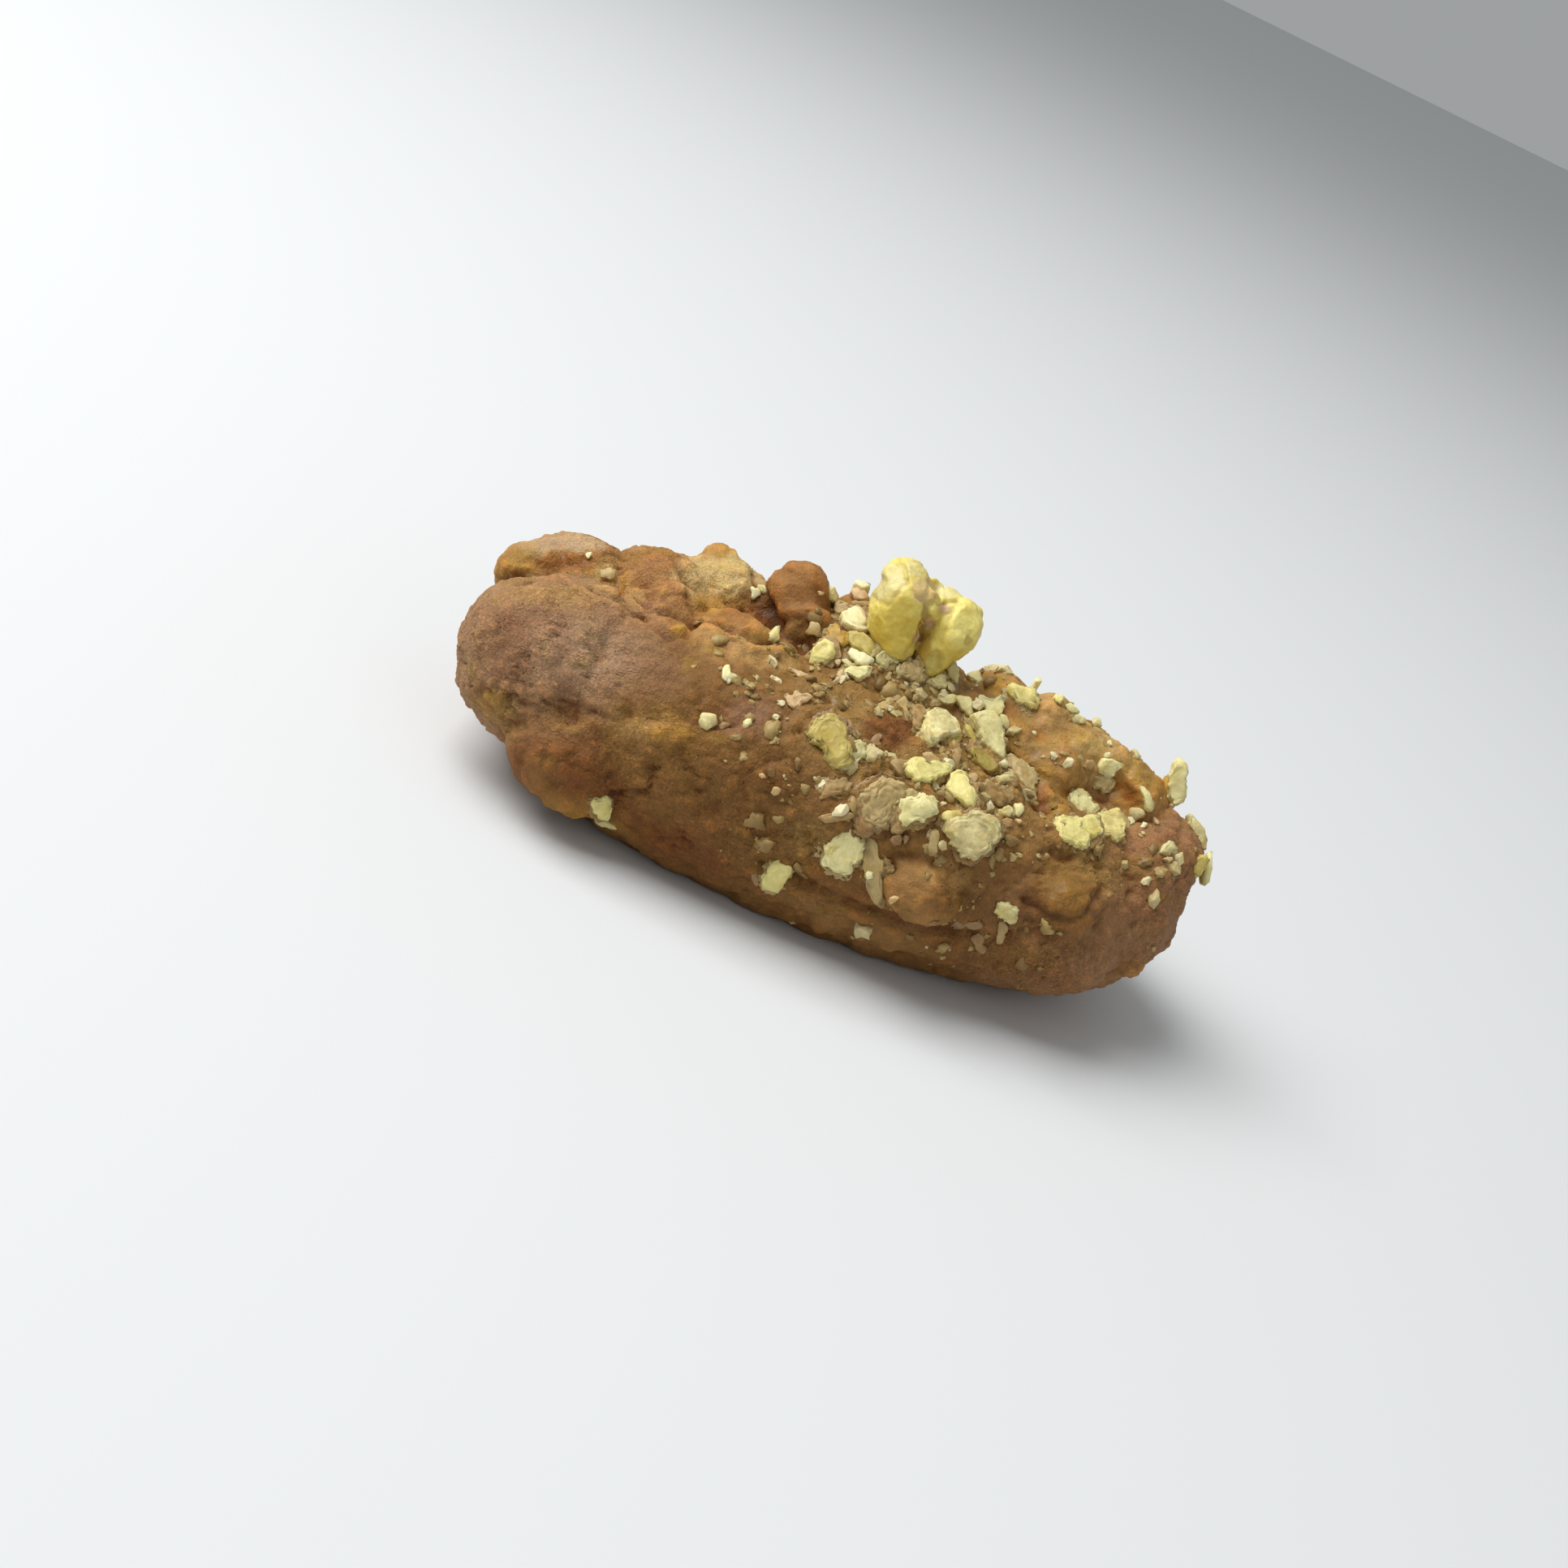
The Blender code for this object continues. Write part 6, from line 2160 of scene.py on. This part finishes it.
    def _surface(self, piece: Piece, ways: np.ndarray) -> np.ndarray:
        """Shapes one piece: its rim, its breaks and its crumbly relief.

        Args:
            piece: the piece.
            ways: directions from its middle, one row for each vertex.

        Returns:
            The vertices' places in the part's frame, in millimetres.
        """
        how = piece.kind.value
        chance = random.Random(f"{piece.name}{self.seed}")
        x, y, z = ways.T
        angle = np.arctan2(y, x) % math.tau
        turns = np.arange(len(piece.rim)) * math.tau / len(piece.rim)
        edge = np.column_stack([np.cos(turns), np.sin(turns), turns * 0]) * piece.rim[:, None]
        shift = Vector((chance.uniform(0, 90), chance.uniform(0, 90), 0))
        teeth = [noise.noise(Vector(spot) / self.tooth_size + shift) for spot in edge]
        bays = [noise.noise(Vector(spot) / (3 * self.tooth_size) + shift) for spot in edge]
        ragged = 0.65 * np.array(teeth) + 0.7 * np.array(bays)
        rim = piece.rim + ragged * self.tooth_depth * min(1.0, piece.rim.mean())
        radius = np.interp(angle, turns, rim, period=math.tau)
        side = np.clip(1 - np.abs(z) ** how.boxiness, 0, 1) ** (1 / how.boxiness)
        top = piece.height * (1 - how.sink) * self.thinness
        drop = piece.height * how.sink + self.root
        tilt = chance.uniform(-0.16, 0.16), chance.uniform(-0.16, 0.16)
        places = np.column_stack([np.cos(angle) * radius * side, np.sin(angle) * radius * side, z * 0])
        rise = np.where(z > 0, top, drop) * z
        places[:, 2] = rise + (places[:, 0] * tilt[0] + places[:, 1] * tilt[1]) * (z > 0) * np.abs(z)
        mean = piece.rim.mean()
        for _ in range(how.facets):
            turn, lift = chance.uniform(0, math.tau), chance.uniform(0.35, 0.95)
            level = math.sqrt(1 - lift**2)
            across = np.array((math.cos(turn) * level, math.sin(turn) * level, lift))
            reach = (places @ across).max() * chance.uniform(0.74, 0.94)
            places -= np.clip(places @ across - reach, 0, None)[:, None] * across
        rough = how.crumble * min(1.0, 0.45 + mean * 0.35)
        flat = 1 - np.abs(z)
        for number, place in enumerate(places):
            spot = Vector(place) + shift
            lumps = 0.45 - noise.voronoi(spot / 0.6)[0][0]
            crumble = sum(share * noise.noise(spot / size) for share, size in self.crumbles)
            way = ways[number] * (flat[number], flat[number], 1)
            places[number] = place + way * (crumble + 0.5 * lumps) * rough
        return places @ np.array(piece.facing).T + np.array(piece.middle)


@dataclass
class Crumbs:
    """Crumbs of one kind, strewn over the dough by a rule.

    Attributes:
        share: what is painted on the dough for how thickly they lie.
        spacing: the least distance between two.
        density: how many lie on a square centimetre where they are thickest.
        sizes: the width of the smallest and the largest.
        flatness: how thick one is for its width.
        lean: how far one may lean out of the dough, in radians.
        smooth: whether the syrup has rounded its edges.
        corners: how many corners its ragged edge has.
        shapes: how many kinds of shape there are.
    """

    name: str
    share: str
    spacing: float
    density: float
    sizes: tuple[float, float]
    flatness: float
    seed: int
    lean: float = 0.5
    smooth: bool = True
    corners: int = 9
    shapes: int = 8

    def build(self, dough: bpy.types.Object, finish: bpy.types.Material) -> bpy.types.Object:
        """Strews the crumbs over the dough.

        Args:
            dough: what they lie on.
            finish: their material.

        Returns:
            The finished piece.
        """
        kinds = bpy.data.collections.new(f"{self.name}_kinds")
        chance = random.Random(self.seed)
        for number in range(self.shapes):
            kinds.objects.link(self._kind(f"{self.name}_{number}", chance))
        tree = Relief(f"{self.name}_strewing")
        sizes = {
            "Spacing": self.spacing * MM,
            "Density": self.density * 10000.0,
            "Smallest": self.sizes[0],
            "Largest": self.sizes[1],
        }
        given = {name: tree.number(name) for name in sizes}
        seed = tree.add_input("Seed", "Int")
        shapes = tree.add_input("Shapes", "Collection")
        material = tree.add_input("Finish", "Material")
        place = tree.node("GeometryNodeInputPosition").outputs[0]
        heaped = tree.noise(place, 4.0, 2.0).step(0.42, 0.6)
        spots = tree.node(
            "GeometryNodeDistributePointsOnFaces",
            {"distribute_method": "POISSON"},
            {
                "Mesh": tree.entry.outputs[0],
                "Distance Min": given["Spacing"],
                "Density Max": given["Density"],
                "Density Factor": tree.stored(self.share) * heaped,
                "Seed": seed,
            },
        )
        chosen = tree.node(
            "GeometryNodeCollectionInfo",
            inputs={"Collection": shapes, "Separate Children": True, "Reset Children": True},
        )
        most = self.lean
        turns = tree.random("FLOAT_VECTOR", (-most, -most, 0.0), (most, most, math.tau), 1)
        spin = tree.node("FunctionNodeEulerToRotation", inputs={0: turns})
        turned = tree.node(
            "FunctionNodeRotateRotation",
            {"rotation_space": "LOCAL"},
            {0: spots.outputs["Rotation"], 1: spin.outputs[0]},
        )
        spread = Value(tree, tree.random("FLOAT", 0.0, 1.0, 2)) ** 2.2
        width = given["Smallest"] + spread * (given["Largest"] - given["Smallest"])
        placed = tree.node(
            "GeometryNodeInstanceOnPoints",
            inputs={
                "Points": spots.outputs["Points"],
                "Instance": chosen.outputs[0],
                "Pick Instance": True,
                "Rotation": turned.outputs[0],
                "Scale": width,
            },
        )
        shade = Value(tree, tree.random("FLOAT", 0.0, 1.0, 3))
        tree.close(tree.store(placed.outputs[0], "shade", shade, "INSTANCE"), material)
        values = {**sizes, "Seed": self.seed, "Shapes": kinds, "Finish": finish}
        mesh = tree.run(dough, values)
        mesh.name = self.name
        if self.smooth:
            smooth_shade(mesh)
        for kind in list(kinds.objects):
            bpy.data.objects.remove(kind)
        bpy.data.collections.remove(kinds)
        return new_object(self.name, mesh)

    def _kind(self, name: str, chance: random.Random) -> bpy.types.Object:
        """Makes one shape of crumb, about a millimetre wide, with a ragged edge.

        Args:
            name: what it is called.
            chance: where the random draws come from.

        Returns:
            The shape as an object.
        """
        shape = bmesh.new()
        narrow = chance.uniform(0.55, 1.0)
        half = self.flatness / 2
        rings = []
        for level in (-half, half):
            ring = []
            for corner in range(self.corners):
                angle = (corner + chance.uniform(-0.35, 0.35)) * math.tau / self.corners
                radius = chance.uniform(0.26, 0.62)
                spot = Vector((math.cos(angle) * radius, math.sin(angle) * radius * narrow, level))
                spot.z *= chance.uniform(0.3, 1.0)
                ring.append(shape.verts.new(spot * MM))
            rings.append(ring)
        for ring, level in zip(rings, (-half, half)):
            aside = chance.uniform(-0.1, 0.1), chance.uniform(-0.1, 0.1)
            tip = shape.verts.new(Vector((*aside, level * chance.uniform(0.9, 1.5))) * MM)
            for first, second in zip(ring, ring[1:] + ring[:1]):
                shape.faces.new((tip, first, second))
        low, high = rings
        for number in range(self.corners):
            after = (number + 1) % self.corners
            shape.faces.new((low[number], low[after], high[after], high[number]))
        bmesh.ops.recalc_face_normals(shape, faces=shape.faces[:])
        return bpy.data.objects.new(name, mesh_from(name, shape))


@dataclass
class Studio:
    """A plain pale floor, soft light and the camera.

    Attributes:
        view: where the camera stands.
        sensor: the camera's sensor width in millimetres.
        floor_half: half the floor's width.
        floor_drop: how far it lies under the base.
        floor_tone: its colour.
        sky: the colour of the even light from all round.
    """

    view: View = View()
    sensor: float = 36.0
    floor_half: float = 2500.0
    floor_drop: float = 0.05
    floor_tone: Colour = (0.70, 0.71, 0.71)
    sky: Colour = (0.95, 0.98, 1.0)
    sky_strength: float = 0.36
    lamp_distance: float = 700.0
    top_width: float = 560.0
    top_power: float = 6.1
    front_width: float = 400.0
    front_power: float = 0.3

    def build(self) -> None:
        """Sets up the floor, the light and the camera."""
        self._floor()
        self._light()
        self._camera()

    def _floor(self) -> None:
        """Lays the floor just under the base."""
        shape = bmesh.new()
        bmesh.ops.create_grid(shape, x_segments=1, y_segments=1, size=self.floor_half * MM)
        for vertex in shape.verts:
            vertex.co.z = -self.floor_drop * MM
        mesh = mesh_from("floor", shape)
        mesh.materials.append(PlainFinish("pale_floor", self.floor_tone, 0.9).material())
        new_object("floor", mesh)

    def _light(self) -> None:
        """Hangs the lamps and lights the sky."""
        world = bpy.data.worlds.new("studio")
        world.use_nodes = True
        sky = world.node_tree.nodes["Background"]
        sky.inputs["Color"].default_value = (*self.sky, 1)
        sky.inputs["Strength"].default_value = self.sky_strength
        bpy.context.scene.world = world
        self._lamp("top_lamp", Vector((-0.58, 0.05, 0.8)), self.top_width, self.top_power)
        self._lamp("front_lamp", Vector((0.6, -1.0, 0.7)), self.front_width, self.front_power)
        bpy.context.scene.view_settings.view_transform = "Standard"

    def _lamp(self, name: str, way: Vector, width: float, power: float) -> None:
        """Hangs one square lamp that faces the biscuit.

        Args:
            name: what it is called.
            way: the direction that it hangs in.
            width: its width.
            power: its power in watts.
        """
        lamp = bpy.data.lights.new(name, "AREA")
        lamp.size = width * MM
        lamp.energy = power
        hung = bpy.data.objects.new(name, lamp)
        bpy.context.scene.collection.objects.link(hung)
        hung.location = way.normalized() * self.lamp_distance * MM
        hung.rotation_mode = "QUATERNION"
        hung.rotation_quaternion = way.to_track_quat("Z", "Y")

    def _camera(self) -> None:
        """Places the camera."""
        right, up, back = self.view.axes()
        camera = bpy.data.cameras.new("camera")
        camera.sensor_width = self.sensor
        camera.lens = self.sensor * self.view.focal / self.view.side
        camera.clip_start = 0.01
        placed = bpy.data.objects.new("camera", camera)
        bpy.context.scene.collection.objects.link(placed)
        turn = Matrix((right, up, back)).transposed().to_4x4()
        placed.matrix_world = Matrix.Translation(self.view.eye() * MM) @ turn
        bpy.context.scene.camera = placed


CRUMBS = (
    (
        Crumbs("pale_crumbs", "pale", 0.45, 110.0, (0.35, 1.9), 0.6, 11, smooth=False),
        CrumbFinish("pale_crumb", (0.46, 0.36, 0.14), (0.80, 0.70, 0.42), 0.55),
    ),
    (
        Crumbs("soaked_crumbs", "soaked", 0.3, 380.0, (0.3, 1.15), 0.45, 12, smooth=False),
        CrumbFinish("soaked_crumb", (0.23, 0.13, 0.038), (0.47, 0.34, 0.13), 0.45),
    ),
    (
        Crumbs("paste_flakes", "soaked", 0.5, 130.0, (0.7, 2.1), 0.35, 13, 0.2, corners=12),
        CrumbFinish("nut_paste", (0.24, 0.14, 0.042), (0.42, 0.29, 0.105), 0.4),
    ),
)


def join_frame(piece: bpy.types.Object, node: str | None = None) -> None:
    """Lets a piece ride on the part, and hides the CAD node that it stands for.

    Args:
        piece: the finished piece.
        node: the CAD node that it stands for, where there is one.
    """
    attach(piece, "root")
    if node:
        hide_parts(node)
    LOG.info("%s: %d faces", piece.name, len(piece.data.polygons))


def main() -> None:
    noise.seed_set(NOISE_SEED)
    logging.basicConfig(level=logging.INFO, format="%(message)s")
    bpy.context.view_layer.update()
    studio = Studio()
    nut_finish = NutFinish().material()
    dough = Dough().build(studio.view, DoughFinish().material())
    join_frame(dough, "dough")
    walnut = WalnutPiece().build(studio.view, NutFinish(softness=0.2).material())
    join_frame(walnut, "walnut_chunk")
    for nuts in ChoppedNuts().build(Bed(dough), studio.view, nut_finish):
        join_frame(nuts, "dough")
    for crumbs, finish in CRUMBS:
        join_frame(crumbs.build(dough, finish.material()))
    studio.build()


if __name__ == "__main__":
    main()
